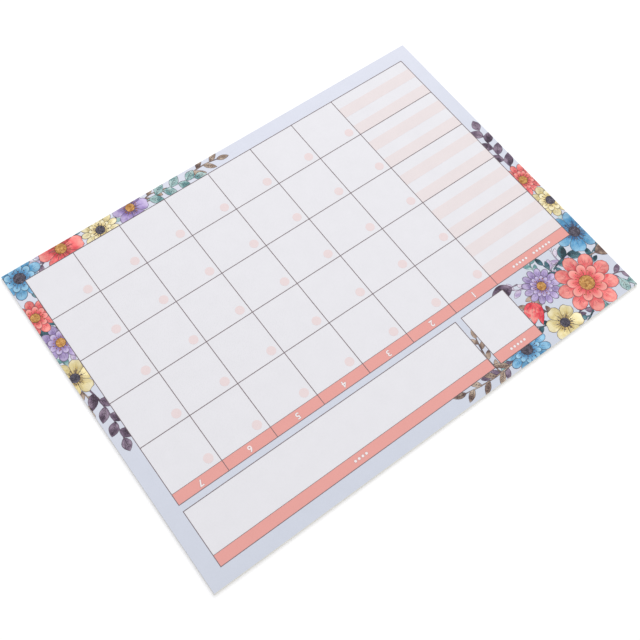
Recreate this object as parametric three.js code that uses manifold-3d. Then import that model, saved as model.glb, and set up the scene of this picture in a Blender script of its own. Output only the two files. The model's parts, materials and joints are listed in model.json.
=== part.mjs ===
// A monthly planner pad: a block of landscape leaves, glued along the head edge to a greyboard back.
// Millimetres, +Z up. The pad lies face up, its head edge towards +Y, and the origin is under its middle.
// The ink of the top leaf is laid on as thin fields of flat colour, one mesh for each field.
import * as THREE from "three";
import { mergeVertices } from "three/addons/utils/BufferGeometryUtils.js";
import Module from "manifold-3d";

// The sheets and what holds them
const SHEET_WIDTH = 279.4;
const SHEET_HEIGHT = 203.2;
const BOARD_THICKNESS = 0.4;
const LEAF_THICKNESS = 0.1;
const LEAF_COUNT = 12;
const GLUE_THICKNESS = 0.25;

// The ink, which is laid on in two passes: flat tints first, then rules and flowers over them
const INK_THICKNESS = 0.05;
const RULE_WIDTH = 0.36;
const HAIRLINE_WIDTH = 0.2;

// The printed layout, measured between the middles of the rules
const MARGIN_LEFT = 8.8;
const MARGIN_RIGHT = 9.5;
const MARGIN_HEAD = 8.4;
const MARGIN_FOOT = 9.2;
const NOTES_WIDTH = 54.1;
const DAY_COLUMNS = 7;
const WEEK_ROWS = 5;
const BAND_HEIGHT = 6.4;
const BOX_HEIGHT = 32.1;
const BOX_TO_CALENDAR = 3.7;
const MONTH_TO_MEMO = 4.1;
const STRIPES_PER_ROW = 2;
const DOT_RADIUS = 2.6;
const DOT_INSET = 4.85;
const DOT_SIDES = 16;

// The printed flowers, by the radius of a bloom, and the sprigs between them
const LARGE_BLOOM = 18;
const MEDIUM_BLOOM = 13.5;
const SMALL_BLOOM = 11;
const EYE_SHARE = 0.25;
const BUD_RADIUS = 6.5;
const LONG_STEM = 34;
const SHORT_STEM = 22;
const LEAF_STALK = 4;
const LARGE_LEAF_LENGTH = 17;
const LARGE_LEAF_WIDTH = 8;
const STEM_BEND = 3;
const STEM_WIDTH = 0.8;
const LEAF_LENGTH = 9.5;
const BROAD_LEAF = 5.2;
const NARROW_LEAF = 3.2;
const LEAF_ROOT = 0.5;
const LEAF_SPREAD = 42;
const NOTCH_WIDTH = 0.18;
const BERRY_RADIUS = 1.5;
const BERRY_STALK = 3.8;
const CURVE_STEPS = 8;

// Places that follow from the sizes above
const BOARD_TOP = BOARD_THICKNESS;
const PAGE_LEVEL = BOARD_TOP + LEAF_COUNT * LEAF_THICKNESS;
const FIRST_PASS = [0, INK_THICKNESS];
const SECOND_PASS = [INK_THICKNESS, 2 * INK_THICKNESS];
const SHEET = {
  left: -SHEET_WIDTH / 2,
  right: SHEET_WIDTH / 2,
  foot: -(SHEET_HEIGHT + GLUE_THICKNESS) / 2,
  head: (SHEET_HEIGHT - GLUE_THICKNESS) / 2,
};
const CALENDAR = {
  left: SHEET.left + MARGIN_LEFT,
  right: SHEET.right - MARGIN_RIGHT,
  foot: SHEET.foot + MARGIN_FOOT,
  head: SHEET.head - MARGIN_HEAD - BOX_HEIGHT - BOX_TO_CALENDAR,
};
const FIRST_DAY = CALENDAR.left + NOTES_WIDTH;
const DAY_WIDTH = (CALENDAR.right - FIRST_DAY) / DAY_COLUMNS;
const ROWS_TOP = CALENDAR.head - BAND_HEIGHT;
const ROW_HEIGHT = (ROWS_TOP - CALENDAR.foot) / WEEK_ROWS;
const BOX_HEAD = SHEET.head - MARGIN_HEAD;
const BOX_FOOT = BOX_HEAD - BOX_HEIGHT;
const MONTH_BOX = { left: FIRST_DAY, right: FIRST_DAY + DAY_WIDTH, foot: BOX_FOOT, head: BOX_HEAD };
const MEMO_BOX = { ...MONTH_BOX, left: MONTH_BOX.right + MONTH_TO_MEMO, right: CALENDAR.right };
const COLUMN_EDGES = [CALENDAR.left, ...countTo(DAY_COLUMNS + 1).map((day) => FIRST_DAY + day * DAY_WIDTH)];
const ROW_EDGES = countTo(WEEK_ROWS + 1).map((row) => ROWS_TOP - row * ROW_HEIGHT);

const PAPER = { roughness: 0.85, metalness: 0 };
const MATERIALS = {
  paper: paint(0xf4f4f6),
  greyboard: paint(0xa9a49b),
  glue: paint(0xe4e2dc),
  tint: paint(0xd9dff0),
  coral_band: paint(0xf0a69e),
  blush: paint(0xf4e4e2),
  rule: paint(0x7c6f72),
  coral: paint(0xee6a70),
  blue: paint(0x5b9fd0),
  yellow: paint(0xf0db86),
  lilac: paint(0xa48cc6),
  teal: paint(0x4d7480),
  sage: paint(0xa3c3c2),
  taupe: paint(0xa08a7c),
  plum: paint(0x6a5569),
  ink_eye: paint(0x3d3a42),
  gold_eye: paint(0xd99a4e),
};

function paint(color) {
  return new THREE.MeshStandardMaterial({ color, ...PAPER });
}

function countTo(count) {
  return [...Array(count).keys()];
}

const wasm = await Module();
wasm.setup();

// Outlines

function rectangle({ left, right, foot, head }) {
  return new THREE.Shape([
    new THREE.Vector2(left, foot),
    new THREE.Vector2(right, foot),
    new THREE.Vector2(right, head),
    new THREE.Vector2(left, head),
  ]);
}

function disc(x, y, radius, sides) {
  const corners = countTo(sides).map((corner) => {
    const turn = (2 * Math.PI * corner) / sides;
    return new THREE.Vector2(x + radius * Math.cos(turn), y + radius * Math.sin(turn));
  });
  return new THREE.Shape(corners);
}

// A box shrunk on every side; each side can be given its own inset.
function inset(box, side, headSide = side, footSide = side) {
  return {
    left: box.left + side,
    right: box.right - side,
    foot: box.foot + footSide,
    head: box.head - headSide,
  };
}

// A ring of petals: each petal swells and closes once, and may be notched at its tip. Its points gather
// at its two sides, where it turns most.
function blossom({ radius, petals, waist, notch = 0 }) {
  const points = countTo(petals * CURVE_STEPS).map((step) => {
    const along = (1 - Math.cos((Math.PI * (step % CURVE_STEPS)) / CURVE_STEPS)) / 2;
    const turn = (2 * Math.PI * (Math.floor(step / CURVE_STEPS) + along)) / petals;
    const swell = Math.sqrt(Math.sin(Math.PI * along));
    const dip = notch * Math.max(0, 1 - Math.abs(along - 0.5) / NOTCH_WIDTH);
    const reach = radius * (waist + (1 - waist) * swell - dip);
    return new THREE.Vector2(reach * Math.cos(turn), reach * Math.sin(turn));
  });
  return new THREE.Shape(points);
}

// A tulip seen from the side: a round cup that opens into three points.
function tulip({ radius }) {
  const cup = new THREE.Shape();
  cup.moveTo(0, -radius);
  cup.bezierCurveTo(0.95 * radius, -radius, 0.95 * radius, 0, 0.72 * radius, radius);
  cup.quadraticCurveTo(0.5 * radius, 0.7 * radius, 0.34 * radius, 0.45 * radius);
  cup.quadraticCurveTo(0.2 * radius, 0.8 * radius, 0, radius);
  cup.quadraticCurveTo(-0.2 * radius, 0.8 * radius, -0.34 * radius, 0.45 * radius);
  cup.quadraticCurveTo(-0.5 * radius, 0.7 * radius, -0.72 * radius, radius);
  cup.bezierCurveTo(-0.95 * radius, 0, -0.95 * radius, -radius, 0, -radius);
  return cup;
}

// An almond leaf along +X. It starts a little behind the origin, to be rooted in what it grows from.
function leaf({ length, width }) {
  const blade = new THREE.Shape();
  blade.moveTo(-LEAF_ROOT, 0);
  blade.quadraticCurveTo(0.42 * length, width, length, 0);
  blade.quadraticCurveTo(0.42 * length, -width, -LEAF_ROOT, 0);
  return blade;
}

// Solids

function solidFrom(geometry) {
  geometry.deleteAttribute("normal");
  geometry.deleteAttribute("uv");
  const merged = mergeVertices(geometry);
  return new wasm.Manifold(
    new wasm.Mesh({
      numProp: 3,
      vertProperties: merged.attributes.position.array,
      triVerts: new Uint32Array(merged.index.array),
    }),
  );
}

// A flat outline given thickness, after it is turned about its own origin and moved to its place.
// Its two heights are exact, so that what lies on it meets it face to face.
function slab(outline, [bottom, top], { x = 0, y = 0, turn = 0 } = {}) {
  const geometry = new THREE.ExtrudeGeometry(outline, {
    depth: 1,
    bevelEnabled: false,
    curveSegments: CURVE_STEPS,
  });
  geometry.rotateZ(turn).translate(x, y, 0);
  const position = geometry.attributes.position;
  for (let i = 0; i < position.count; i += 1) {
    position.setZ(i, position.getZ(i) > 0.5 ? top : bottom);
  }
  return solidFrom(geometry);
}

function meshFrom(name, solid, material) {
  const { vertProperties, triVerts } = solid.getMesh();
  const geometry = new THREE.BufferGeometry();
  geometry.setAttribute("position", new THREE.BufferAttribute(new Float32Array(vertProperties), 3));
  geometry.setIndex(new THREE.BufferAttribute(new Uint32Array(triVerts), 1));
  const mesh = new THREE.Mesh(geometry.toNonIndexed(), material);
  mesh.geometry.computeVertexNormals();
  mesh.name = name;
  return mesh;
}

function joined(solids) {
  return solids.reduce((whole, solid) => whole.add(solid));
}

// A flat sheet with a rectangular window for each box listed.
function windowed(box, windows, heights) {
  const openings = windows.map((opening) => slab(rectangle(opening), heights));
  return slab(rectangle(box), heights).subtract(joined(openings));
}

// The sheets: greyboard, the block of leaves and the dried glue that binds their head edges

function dateDots() {
  return countTo(WEEK_ROWS).flatMap((row) =>
    countTo(DAY_COLUMNS).map((day) => {
      const x = FIRST_DAY + day * DAY_WIDTH + DOT_INSET;
      const y = ROWS_TOP - row * ROW_HEIGHT - DOT_INSET;
      return slab(disc(x, y, DOT_RADIUS, DOT_SIDES), [BOARD_TOP, PAGE_LEVEL + INK_THICKNESS]);
    }),
  );
}

function sheetStack() {
  const stack = new THREE.Group();
  const board = slab(rectangle(SHEET), [0, BOARD_TOP]);
  const block = slab(rectangle(SHEET), [BOARD_TOP, PAGE_LEVEL]);
  const bead = { ...SHEET, foot: SHEET.head, head: SHEET.head + GLUE_THICKNESS };
  stack.add(
    meshFrom("backing_board", board, MATERIALS.greyboard),
    meshFrom("leaf_block", joined([block, ...dateDots()]), MATERIALS.paper),
    meshFrom("head_glue", slab(rectangle(bead), [0, PAGE_LEVEL]), MATERIALS.glue),
  );
  return stack;
}

// First pass of ink: the border tint, the three title bands and the stripes of the notes column

function borderTint() {
  return windowed(SHEET, [CALENDAR, MONTH_BOX, MEMO_BOX], FIRST_PASS);
}

function titleBand(box) {
  return slab(rectangle({ ...box, foot: box.head - BAND_HEIGHT }), FIRST_PASS);
}

function noteStripes() {
  const pitch = ROW_HEIGHT / (2 * STRIPES_PER_ROW);
  return countTo(WEEK_ROWS * STRIPES_PER_ROW).map((stripe) => {
    const head = ROWS_TOP - 2 * stripe * pitch;
    return slab(rectangle({ left: CALENDAR.left, right: FIRST_DAY, foot: head - pitch, head }), FIRST_PASS);
  });
}

// Second pass of ink: the rules. A grid is one sheet of ink with a window for each cell.

function ruledGrid(box, columns, rows, underneath) {
  const half = RULE_WIDTH / 2;
  const hairline = HAIRLINE_WIDTH / 2;
  const cells = [];
  for (let column = 0; column + 1 < columns.length; column += 1) {
    const sides = { left: columns[column], right: columns[column + 1] };
    cells.push(inset({ ...sides, head: box.head, foot: rows[0] }, half, half, hairline));
    for (let row = 0; row + 1 < rows.length; row += 1) {
      const cell = { ...sides, head: rows[row], foot: rows[row + 1] };
      cells.push(inset(cell, half, row ? half : hairline, half));
    }
  }
  const ink = windowed(inset(box, -half), cells, [FIRST_PASS[0], SECOND_PASS[1]]);
  return underneath.reduce((left, solid) => left.subtract(solid), ink);
}

function boxRules(box, underneath) {
  return ruledGrid(box, [box.left, box.right], [box.head - BAND_HEIGHT, box.foot], underneath);
}

// Flowers. Each spray grows from a corner of the sheet, and what is laid down first stays whole.

// A stem that bends over its length, with leaves or berries on both sides in turn and one at its tip.
// Its line is turned and moved first, and its leaves then follow the line's own directions.
function sprigSolid({ length, bend, leaves, leafLength, leafWidth, berries = 0 }, { x, y, turn }) {
  const middle = new THREE.Vector2(length / 2, bend).rotateAround(new THREE.Vector2(), turn);
  const tip = new THREE.Vector2(length, 0).rotateAround(new THREE.Vector2(), turn);
  const line = new THREE.QuadraticBezierCurve(new THREE.Vector2(), middle, tip);
  const sides = [-1, 1].map((side) =>
    countTo(CURVE_STEPS + 1).map((step) => {
      const share = step / CURVE_STEPS;
      const across = line.getTangent(share).rotateAround(new THREE.Vector2(), Math.PI / 2);
      return line.getPoint(share).addScaledVector(across, (side * STEM_WIDTH * (1 - share / 2)) / 2);
    }),
  );
  const stem = slab(new THREE.Shape([...sides[0], ...sides[1].reverse()]), SECOND_PASS, { x, y });
  const blades = countTo(leaves).flatMap((index) => {
    const share = (index + 1) / leaves;
    const joint = line.getPoint(share);
    const side = index % 2 ? LEAF_SPREAD : -LEAF_SPREAD;
    const spread = index === leaves - 1 ? 0 : THREE.MathUtils.degToRad(side);
    const heading = line.getTangent(share).angle() + spread;
    const place = { x: x + joint.x, y: y + joint.y, turn: heading };
    const stalk = leaf({ length: leafLength * (1 - share / 4), width: berries ? STEM_WIDTH : leafWidth });
    const berry = berries ? [slab(disc(leafLength, 0, berries, 2 * CURVE_STEPS), SECOND_PASS, place)] : [];
    return [slab(stalk, SECOND_PASS, place), ...berry];
  });
  return joined([stem, ...blades]);
}

// What is left of a solid once the solids laid down before it are cut away. Of several pieces, the
// largest is kept, as an original of its own that no longer lists the solids that it was cut with.
function clearOf(solid, earlier) {
  const left = earlier.reduce((rest, other) => rest.subtract(other), solid);
  const [largest] = left.asOriginal().decompose().sort((a, b) => b.volume() - a.volume());
  return largest.asOriginal();
}

// Kinds of flower and sprig
const DAISY = { petals: 9, waist: 0.62 };
const COSMOS = { petals: 6, waist: 0.62, notch: 0.07 };
const ASTER = { petals: 13, waist: 0.68 };
const TULIP = { cup: true };
const LONG_SPRIG = {
  length: LONG_STEM,
  bend: STEM_BEND,
  leaves: 7,
  leafLength: LEAF_LENGTH,
  leafWidth: BROAD_LEAF,
};
const SHORT_SPRIG = { ...LONG_SPRIG, length: SHORT_STEM, leaves: 5 };
const LONG_WILLOW = { ...LONG_SPRIG, leafWidth: NARROW_LEAF };
const SHORT_WILLOW = { ...SHORT_SPRIG, leafWidth: NARROW_LEAF };
const BERRY_SPRIG = { ...SHORT_SPRIG, leafLength: BERRY_STALK, berries: BERRY_RADIUS };
const LARGE_LEAF = {
  length: LEAF_STALK,
  bend: 0,
  leaves: 1,
  leafLength: LARGE_LEAF_LENGTH,
  leafWidth: LARGE_LEAF_WIDTH,
};

// The inks of a flower: its petals and its eye
const CORAL = { colour: "coral", eye: "gold_eye" };
const BLUE = { colour: "blue", eye: "ink_eye" };
const YELLOW = { colour: "yellow", eye: "ink_eye" };
const LILAC = { colour: "lilac", eye: "gold_eye" };

// The parts of the border that hold flowers. A flower's place names one, then its share across and up it.
const CORNER = { left: SHEET.left, right: MONTH_BOX.left, foot: CALENDAR.head, head: SHEET.head };
const LEFT = { left: SHEET.left, right: CALENDAR.left, foot: SHEET.foot, head: CALENDAR.head };
const RIGHT = { left: CALENDAR.right, right: SHEET.right, foot: SHEET.foot, head: CALENDAR.head };
const HEAD = { left: MONTH_BOX.left, right: SHEET.right, foot: BOX_HEAD, head: SHEET.head };
const FOOT = { left: SHEET.left, right: SHEET.right, foot: SHEET.foot, head: CALENDAR.foot };

// Laid down in this order, so an earlier one lies in front. Turns are in degrees.
const HEAD_SPRAY = {
  flowers: [
    { name: "coral_daisy", ...DAISY, ...CORAL, radius: LARGE_BLOOM, at: [CORNER, 0.35, 0.62], turn: 10 },
    { name: "yellow_cosmos", ...COSMOS, ...YELLOW, radius: SMALL_BLOOM, at: [CORNER, 0.77, 0.86], turn: 12 },
    { name: "blue_aster", ...ASTER, ...BLUE, radius: MEDIUM_BLOOM, at: [HEAD, 0.06, 0.2], turn: 4 },
    { name: "blue_cosmos", ...COSMOS, ...BLUE, radius: MEDIUM_BLOOM, at: [LEFT, 0.6, 1.0], turn: 30 },
    { name: "lilac_aster", ...ASTER, ...LILAC, radius: SMALL_BLOOM, at: [CORNER, 0.7, 0.33], turn: 8 },
    { name: "coral_tulip", ...TULIP, radius: BUD_RADIUS, at: [CORNER, 0.93, 0.55], turn: 320, colour: "coral" },
    { name: "yellow_daisy", ...DAISY, ...YELLOW, radius: SMALL_BLOOM, at: [LEFT, 0.25, 0.855], turn: 15 },
    { name: "coral_aster", ...ASTER, ...CORAL, radius: SMALL_BLOOM, at: [LEFT, 0.65, 0.735], turn: 5 },
  ],
  sprigs: [
    { name: "teal_sprig", ...SHORT_SPRIG, at: [CORNER, 0.5, 0.25], turn: 186, colour: "teal" },
    { name: "taupe_leaf", ...LARGE_LEAF, at: [CORNER, 0.14, 0.36], turn: 172, colour: "taupe" },
    { name: "plum_leaf", ...LARGE_LEAF, at: [CORNER, 0.86, 0.14], turn: -8, colour: "plum" },
    { name: "sage_sprig", ...SHORT_SPRIG, at: [CORNER, 0.13, 0.74], turn: 118, colour: "sage" },
    { name: "taupe_sprig", ...LONG_WILLOW, at: [HEAD, 0.1, 0.35], turn: -2, colour: "taupe" },
    { name: "plum_sprig", ...LONG_SPRIG, at: [LEFT, 0.55, 0.69], turn: -92, colour: "plum" },
    { name: "teal_berries", ...BERRY_SPRIG, at: [CORNER, 0.48, 0.93], turn: 14, colour: "teal" },
  ],
};
const FOOT_SPRAY = {
  flowers: [
    { name: "blue_daisy", ...DAISY, ...BLUE, radius: MEDIUM_BLOOM, at: [RIGHT, 0.2, 0.04], turn: 8 },
    { name: "coral_cosmos", ...COSMOS, ...CORAL, radius: MEDIUM_BLOOM, at: [FOOT, 0.875, 0.35], turn: 20 },
    { name: "yellow_aster", ...ASTER, ...YELLOW, radius: SMALL_BLOOM, at: [FOOT, 0.79, 0.6], turn: 6 },
    { name: "lilac_cosmos", ...COSMOS, ...LILAC, radius: SMALL_BLOOM, at: [FOOT, 0.715, 0.3], turn: 15 },
    { name: "coral_button", ...DAISY, ...CORAL, radius: SMALL_BLOOM, at: [RIGHT, 0.7, 0.2], turn: 3 },
    { name: "lilac_daisy", ...DAISY, ...LILAC, radius: SMALL_BLOOM, at: [RIGHT, 0.3, 0.325], turn: 11 },
    { name: "yellow_button", ...COSMOS, ...YELLOW, radius: SMALL_BLOOM, at: [RIGHT, 0.75, 0.46], turn: 25 },
  ],
  sprigs: [
    { name: "sage_tendril", ...LONG_SPRIG, at: [FOOT, 0.69, 0.5], turn: 176, colour: "sage" },
    { name: "taupe_tendril", ...SHORT_WILLOW, at: [FOOT, 0.585, 0.5], turn: 182, colour: "taupe" },
    { name: "plum_tendril", ...LONG_SPRIG, at: [RIGHT, 0.5, 0.51], turn: 92, colour: "plum" },
    { name: "teal_tendril", ...SHORT_SPRIG, at: [RIGHT, 0.55, 0.105], turn: 88, colour: "teal" },
  ],
};

function spray({ flowers, sprigs }, border) {
  const group = new THREE.Group();
  const laidDown = [];
  const add = (name, solid, colour) => {
    const ink = clearOf(solid.intersect(border), laidDown);
    laidDown.push(ink);
    group.add(meshFrom(`print_${name}`, ink, MATERIALS[colour]));
  };
  const placeOf = ({ at: [zone, across, up], turn }) => ({
    x: THREE.MathUtils.lerp(zone.left, zone.right, across),
    y: THREE.MathUtils.lerp(zone.foot, zone.head, up),
    turn: THREE.MathUtils.degToRad(turn),
  });
  for (const flower of flowers) {
    const place = placeOf(flower);
    if (flower.eye) {
      const eye = disc(0, 0, flower.radius * EYE_SHARE, 2 * CURVE_STEPS);
      add(`${flower.name}_eye`, slab(eye, SECOND_PASS, place), flower.eye);
    }
    const outline = flower.cup ? tulip(flower) : blossom(flower);
    add(`${flower.name}_petals`, slab(outline, SECOND_PASS, place), flower.colour);
  }
  for (const sprig of sprigs) {
    add(sprig.name, sprigSolid(sprig, placeOf(sprig)), sprig.colour);
  }
  return group;
}

// Where flowers may be printed: on the tint, up to the middles of the frame rules and the sheet's edges.
function flowerBorder(rules) {
  const ground = windowed(SHEET, [CALENDAR, MONTH_BOX, MEMO_BOX], SECOND_PASS);
  return rules.reduce((left, rule) => left.subtract(rule), ground);
}

function pagePrint() {
  const print = new THREE.Group();
  print.position.z = PAGE_LEVEL;
  const tint = borderTint();
  const bands = { calendar: titleBand(CALENDAR), month: titleBand(MONTH_BOX), memo: titleBand(MEMO_BOX) };
  const stripes = noteStripes();
  const rules = {
    calendar: ruledGrid(CALENDAR, COLUMN_EDGES, ROW_EDGES, [tint, bands.calendar, ...stripes]),
    month: boxRules(MONTH_BOX, [tint, bands.month]),
    memo: boxRules(MEMO_BOX, [tint, bands.memo]),
  };
  print.add(meshFrom("print_border_tint", tint, MATERIALS.tint));
  for (const name of Object.keys(bands)) {
    print.add(meshFrom(`print_${name}_band`, bands[name], MATERIALS.coral_band));
    print.add(meshFrom(`print_${name}_rules`, rules[name], MATERIALS.rule));
  }
  stripes.forEach((stripe, index) => {
    print.add(meshFrom(`print_notes_stripe_${index + 1}`, stripe, MATERIALS.blush));
  });
  const border = flowerBorder(Object.values(rules));
  print.add(spray(HEAD_SPRAY, border), spray(FOOT_SPRAY, border));
  return print;
}

const plannerPad = new THREE.Group();
plannerPad.add(sheetStack(), pagePrint());

export default plannerPad;
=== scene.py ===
# %% [markdown]
# # A monthly planner pad
# The pad is a block of thin leaves, glued along one edge to a greyboard back. It is almost flat, so nearly
# all that the eye reads is printed ink: a pale blue border, coral title bands, fine rules, pale discs for the
# dates and painted-looking flowers. The construction comes from the frame. This script gives each surface
# its finish, and adds the pieces that are too fine for the frame, such as ink outlines and numerals.

import json
import math
import random

import bmesh
import bpy
from mathutils import Matrix, Vector
from mathutils.bvhtree import BVHTree


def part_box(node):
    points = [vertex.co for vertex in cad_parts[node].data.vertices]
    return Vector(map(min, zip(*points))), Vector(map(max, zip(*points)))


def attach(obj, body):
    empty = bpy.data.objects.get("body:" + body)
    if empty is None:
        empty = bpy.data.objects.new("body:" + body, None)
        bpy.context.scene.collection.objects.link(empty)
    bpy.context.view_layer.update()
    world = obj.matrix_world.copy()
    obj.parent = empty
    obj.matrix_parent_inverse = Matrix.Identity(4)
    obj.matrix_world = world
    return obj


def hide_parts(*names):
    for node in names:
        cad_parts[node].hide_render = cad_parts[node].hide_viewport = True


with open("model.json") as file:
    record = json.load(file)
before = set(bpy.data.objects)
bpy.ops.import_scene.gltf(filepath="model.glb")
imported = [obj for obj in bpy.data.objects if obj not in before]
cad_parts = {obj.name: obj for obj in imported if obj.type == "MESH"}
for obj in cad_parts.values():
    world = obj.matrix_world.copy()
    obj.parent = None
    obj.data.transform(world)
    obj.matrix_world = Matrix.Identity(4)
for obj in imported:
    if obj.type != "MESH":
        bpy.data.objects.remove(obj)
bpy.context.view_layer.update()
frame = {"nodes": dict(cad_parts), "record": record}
NODES = frame["nodes"]
MM = 0.001

# %% [markdown]
# ## Heights and places
# Every printed field is a slice of ink a twentieth of a millimetre thick. The board, the leaves and the two
# passes of ink lie on each other, so their heights are read from the frame once and then used by name.

# %% Heights and places
BOARD_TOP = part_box("backing_board")[1].z
PAGE_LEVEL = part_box("print_border_tint")[0].z
FIRST_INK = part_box("print_border_tint")[1].z
SECOND_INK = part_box("print_calendar_rules")[1].z
# The thickness of a pressed pen line, half of it proud of what it is drawn on
HAIR = 0.006 * MM
SHEET_LOW, SHEET_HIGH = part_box("leaf_block")
print("page level", round(PAGE_LEVEL / MM, 3), "ink", round((FIRST_INK - PAGE_LEVEL) / MM, 3), "mm")

# %% [markdown]
# ## Small helpers
# Colours are written as they look on a screen, as sRGB hex, and Blender wants them linear, so one function
# turns one into the other. The second adds a node to a tree, sets what it is given and links its inputs. The
# others start an empty material, and give a node of the frame its only finish.

# %% Helpers for colour and nodes
def linear(hex_colour):
    """An sRGB hex colour as the linear RGBA that shaders work in."""
    channels = [int(hex_colour[start:start + 2], 16) / 255 for start in (1, 3, 5)]
    return (*[c / 12.92 if c <= 0.04045 else ((c + 0.055) / 1.055) ** 2.4 for c in channels], 1.0)


def add(tree, kind, inputs=(), **settings):
    """Adds a node. inputs maps a socket's name or number to a value, or to the socket that feeds it."""
    node = tree.nodes.new(kind)
    for name, value in settings.items():
        setattr(node, name, value)
    for name, value in dict(inputs).items():
        if isinstance(value, bpy.types.NodeSocket):
            tree.links.new(value, node.inputs[name])
        else:
            node.inputs[name].default_value = value
    return node


def new_finish(name):
    """An empty material, and its node tree."""
    material = bpy.data.materials.new(name)
    material.use_nodes = True
    material.node_tree.nodes.clear()
    return material, material.node_tree


def dress(node, material):
    """Gives a node of the frame its only finish."""
    NODES[node].data.materials.clear()
    NODES[node].data.materials.append(material)


print("middle grey in linear light:", round(linear("#808080")[0], 3))

# %% [markdown]
# ## Camera
# The photograph looks at the pad from beyond its head edge, well above it, so the page is upside down. The
# place, the aim and the small roll come from the four corners of the sheet in the photograph.

# %% Camera
# In pixels of the photograph: its side, the focal length, and where its axis passes
PHOTO_SIDE = 640
FOCAL_PX = 906.1
MIDDLE_PX = 282.2
CAMERA_PLACE = Vector((158.0, 161.8, 438.9)) * MM
CAMERA_AIM = Vector((31.3, 6.4, 1.6)) * MM
CAMERA_ROLL = math.radians(3.43)
SENSOR = 36.0

camera_data = bpy.data.cameras.new("photo_camera")
camera_data.sensor_width = SENSOR
camera_data.lens = SENSOR * FOCAL_PX / PHOTO_SIDE
camera_data.shift_x = 0.5 - MIDDLE_PX / PHOTO_SIDE
camera_data.clip_start = 0.01
camera = bpy.data.objects.new("photo_camera", camera_data)
bpy.context.scene.collection.objects.link(camera)
camera.location = CAMERA_PLACE
turn = (CAMERA_AIM - CAMERA_PLACE).to_track_quat("-Z", "Y").to_matrix()
camera.rotation_euler = (turn @ Matrix.Rotation(CAMERA_ROLL, 3, "Z")).to_euler()
bpy.context.scene.camera = camera
print("camera:", round(camera_data.lens, 1), "mm lens")

# %% [markdown]
# ## Light
# An even sky gives most of the light, as a white studio does, and one large soft lamp beyond the foot edge
# makes the far side a little brighter, as in the photograph. The camera and reflections see the sky as plain
# white, through Light Path, while the light that it gives stays lower, so that colours come out as written.

# %% Light
SKY_LEVEL = 0.71
LAMP_POWER = 6.3
LAMP_SIDE = 0.9
LAMP_PLACE = Vector((-0.55, -0.6, 1.0))

world = bpy.data.worlds.new("studio_sky")
bpy.context.scene.world = world
world.use_nodes = True
sky_tree = world.node_tree
sky_tree.nodes.clear()
path = add(sky_tree, "ShaderNodeLightPath").outputs
shown = add(sky_tree, "ShaderNodeMath", {0: path["Is Camera Ray"], 1: path["Is Glossy Ray"]}, operation="MAXIMUM")
level = add(sky_tree, "ShaderNodeMath", {0: shown.outputs[0], 1: 1 - SKY_LEVEL, 2: SKY_LEVEL},
            operation="MULTIPLY_ADD")
sky = add(sky_tree, "ShaderNodeBackground", {"Color": linear("#FFFFFF"), "Strength": level.outputs[0]})
add(sky_tree, "ShaderNodeOutputWorld", {"Surface": sky.outputs[0]})

lamp_data = bpy.data.lights.new("soft_lamp", "AREA")
lamp_data.energy = LAMP_POWER
lamp_data.size = LAMP_SIDE
lamp = bpy.data.objects.new("soft_lamp", lamp_data)
bpy.context.scene.collection.objects.link(lamp)
lamp.location = LAMP_PLACE
lamp.rotation_euler = (-LAMP_PLACE).to_track_quat("-Z", "Y").to_euler()
bpy.context.scene.view_settings.view_transform = "Standard"
print("sky at", SKY_LEVEL, "and a lamp of", LAMP_POWER, "W")

# %% [markdown]
# ## Floor
# Matt white paint on a studio floor. It only has to take the pad's soft shadow and look white, so it is one
# flat square just under the pad, with a little glow that only the camera and reflections see.

# %% Floor
FLOOR_SIDE = 6.0
FLOOR_DROP = 0.05 * MM
FLOOR_WHITE = "#F6F6F7"
FLOOR_GLOW = 0.2


def floor_material():
    """Matt painted floor: an even white that takes a shadow and has no gloss."""
    material, tree = new_finish("white_studio_floor")
    paint = add(tree, "ShaderNodeBsdfDiffuse", {"Color": linear(FLOOR_WHITE)})
    glow = add(tree, "ShaderNodeEmission", {"Color": linear("#FFFFFF"), "Strength": FLOOR_GLOW})
    both = add(tree, "ShaderNodeAddShader", {0: paint.outputs[0], 1: glow.outputs[0]})
    path = add(tree, "ShaderNodeLightPath").outputs
    shown = add(tree, "ShaderNodeMath", {0: path["Is Camera Ray"], 1: path["Is Glossy Ray"]}, operation="MAXIMUM")
    mix = add(tree, "ShaderNodeMixShader", {0: shown.outputs[0], 1: paint.outputs[0], 2: both.outputs[0]})
    add(tree, "ShaderNodeOutputMaterial", {"Surface": mix.outputs[0]})
    return material


floor_mesh = bpy.data.meshes.new("floor")
corners = [(x * FLOOR_SIDE / 2, y * FLOOR_SIDE / 2, 0) for x, y in ((-1, -1), (1, -1), (1, 1), (-1, 1))]
floor_mesh.from_pydata(corners, [], [(0, 1, 2, 3)])
floor_mesh.materials.append(floor_material())
floor = bpy.data.objects.new("floor", floor_mesh)
bpy.context.scene.collection.objects.link(floor)
floor.location.z = -FLOOR_DROP
print("floor:", FLOOR_SIDE, "m square")

# %% [markdown]
# ## Uncoated paper and what is printed on it
# Writing paper is a felt of wood fibres, pressed and dried but not coated. It has no gloss, a faint cloudiness
# where the fibres lie thicker, and a fine tooth. Ink soaks in, so a printed field keeps the paper's tooth and
# cloudiness under its colour. One function makes all of these finishes from one colour. It reads Object
# coordinates, so that clouds and fibres run on from one printed field to the next, as on a real sheet.

# %% Paper, and ink on it
# The felt is uneven in patches of about a centimetre
CLOUD_SIZE = 9 * MM
# Real fibres are 0.03 mm wide. They are drawn ten times coarser, so that they show
FIBRE_SIZE = 0.35 * MM
TOOTH_DEPTH = 0.02 * MM
# A litho screen of 150 lines to the inch
SCREEN_PITCH = 0.17 * MM
SCREEN_STRENGTH = 0.04


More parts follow.
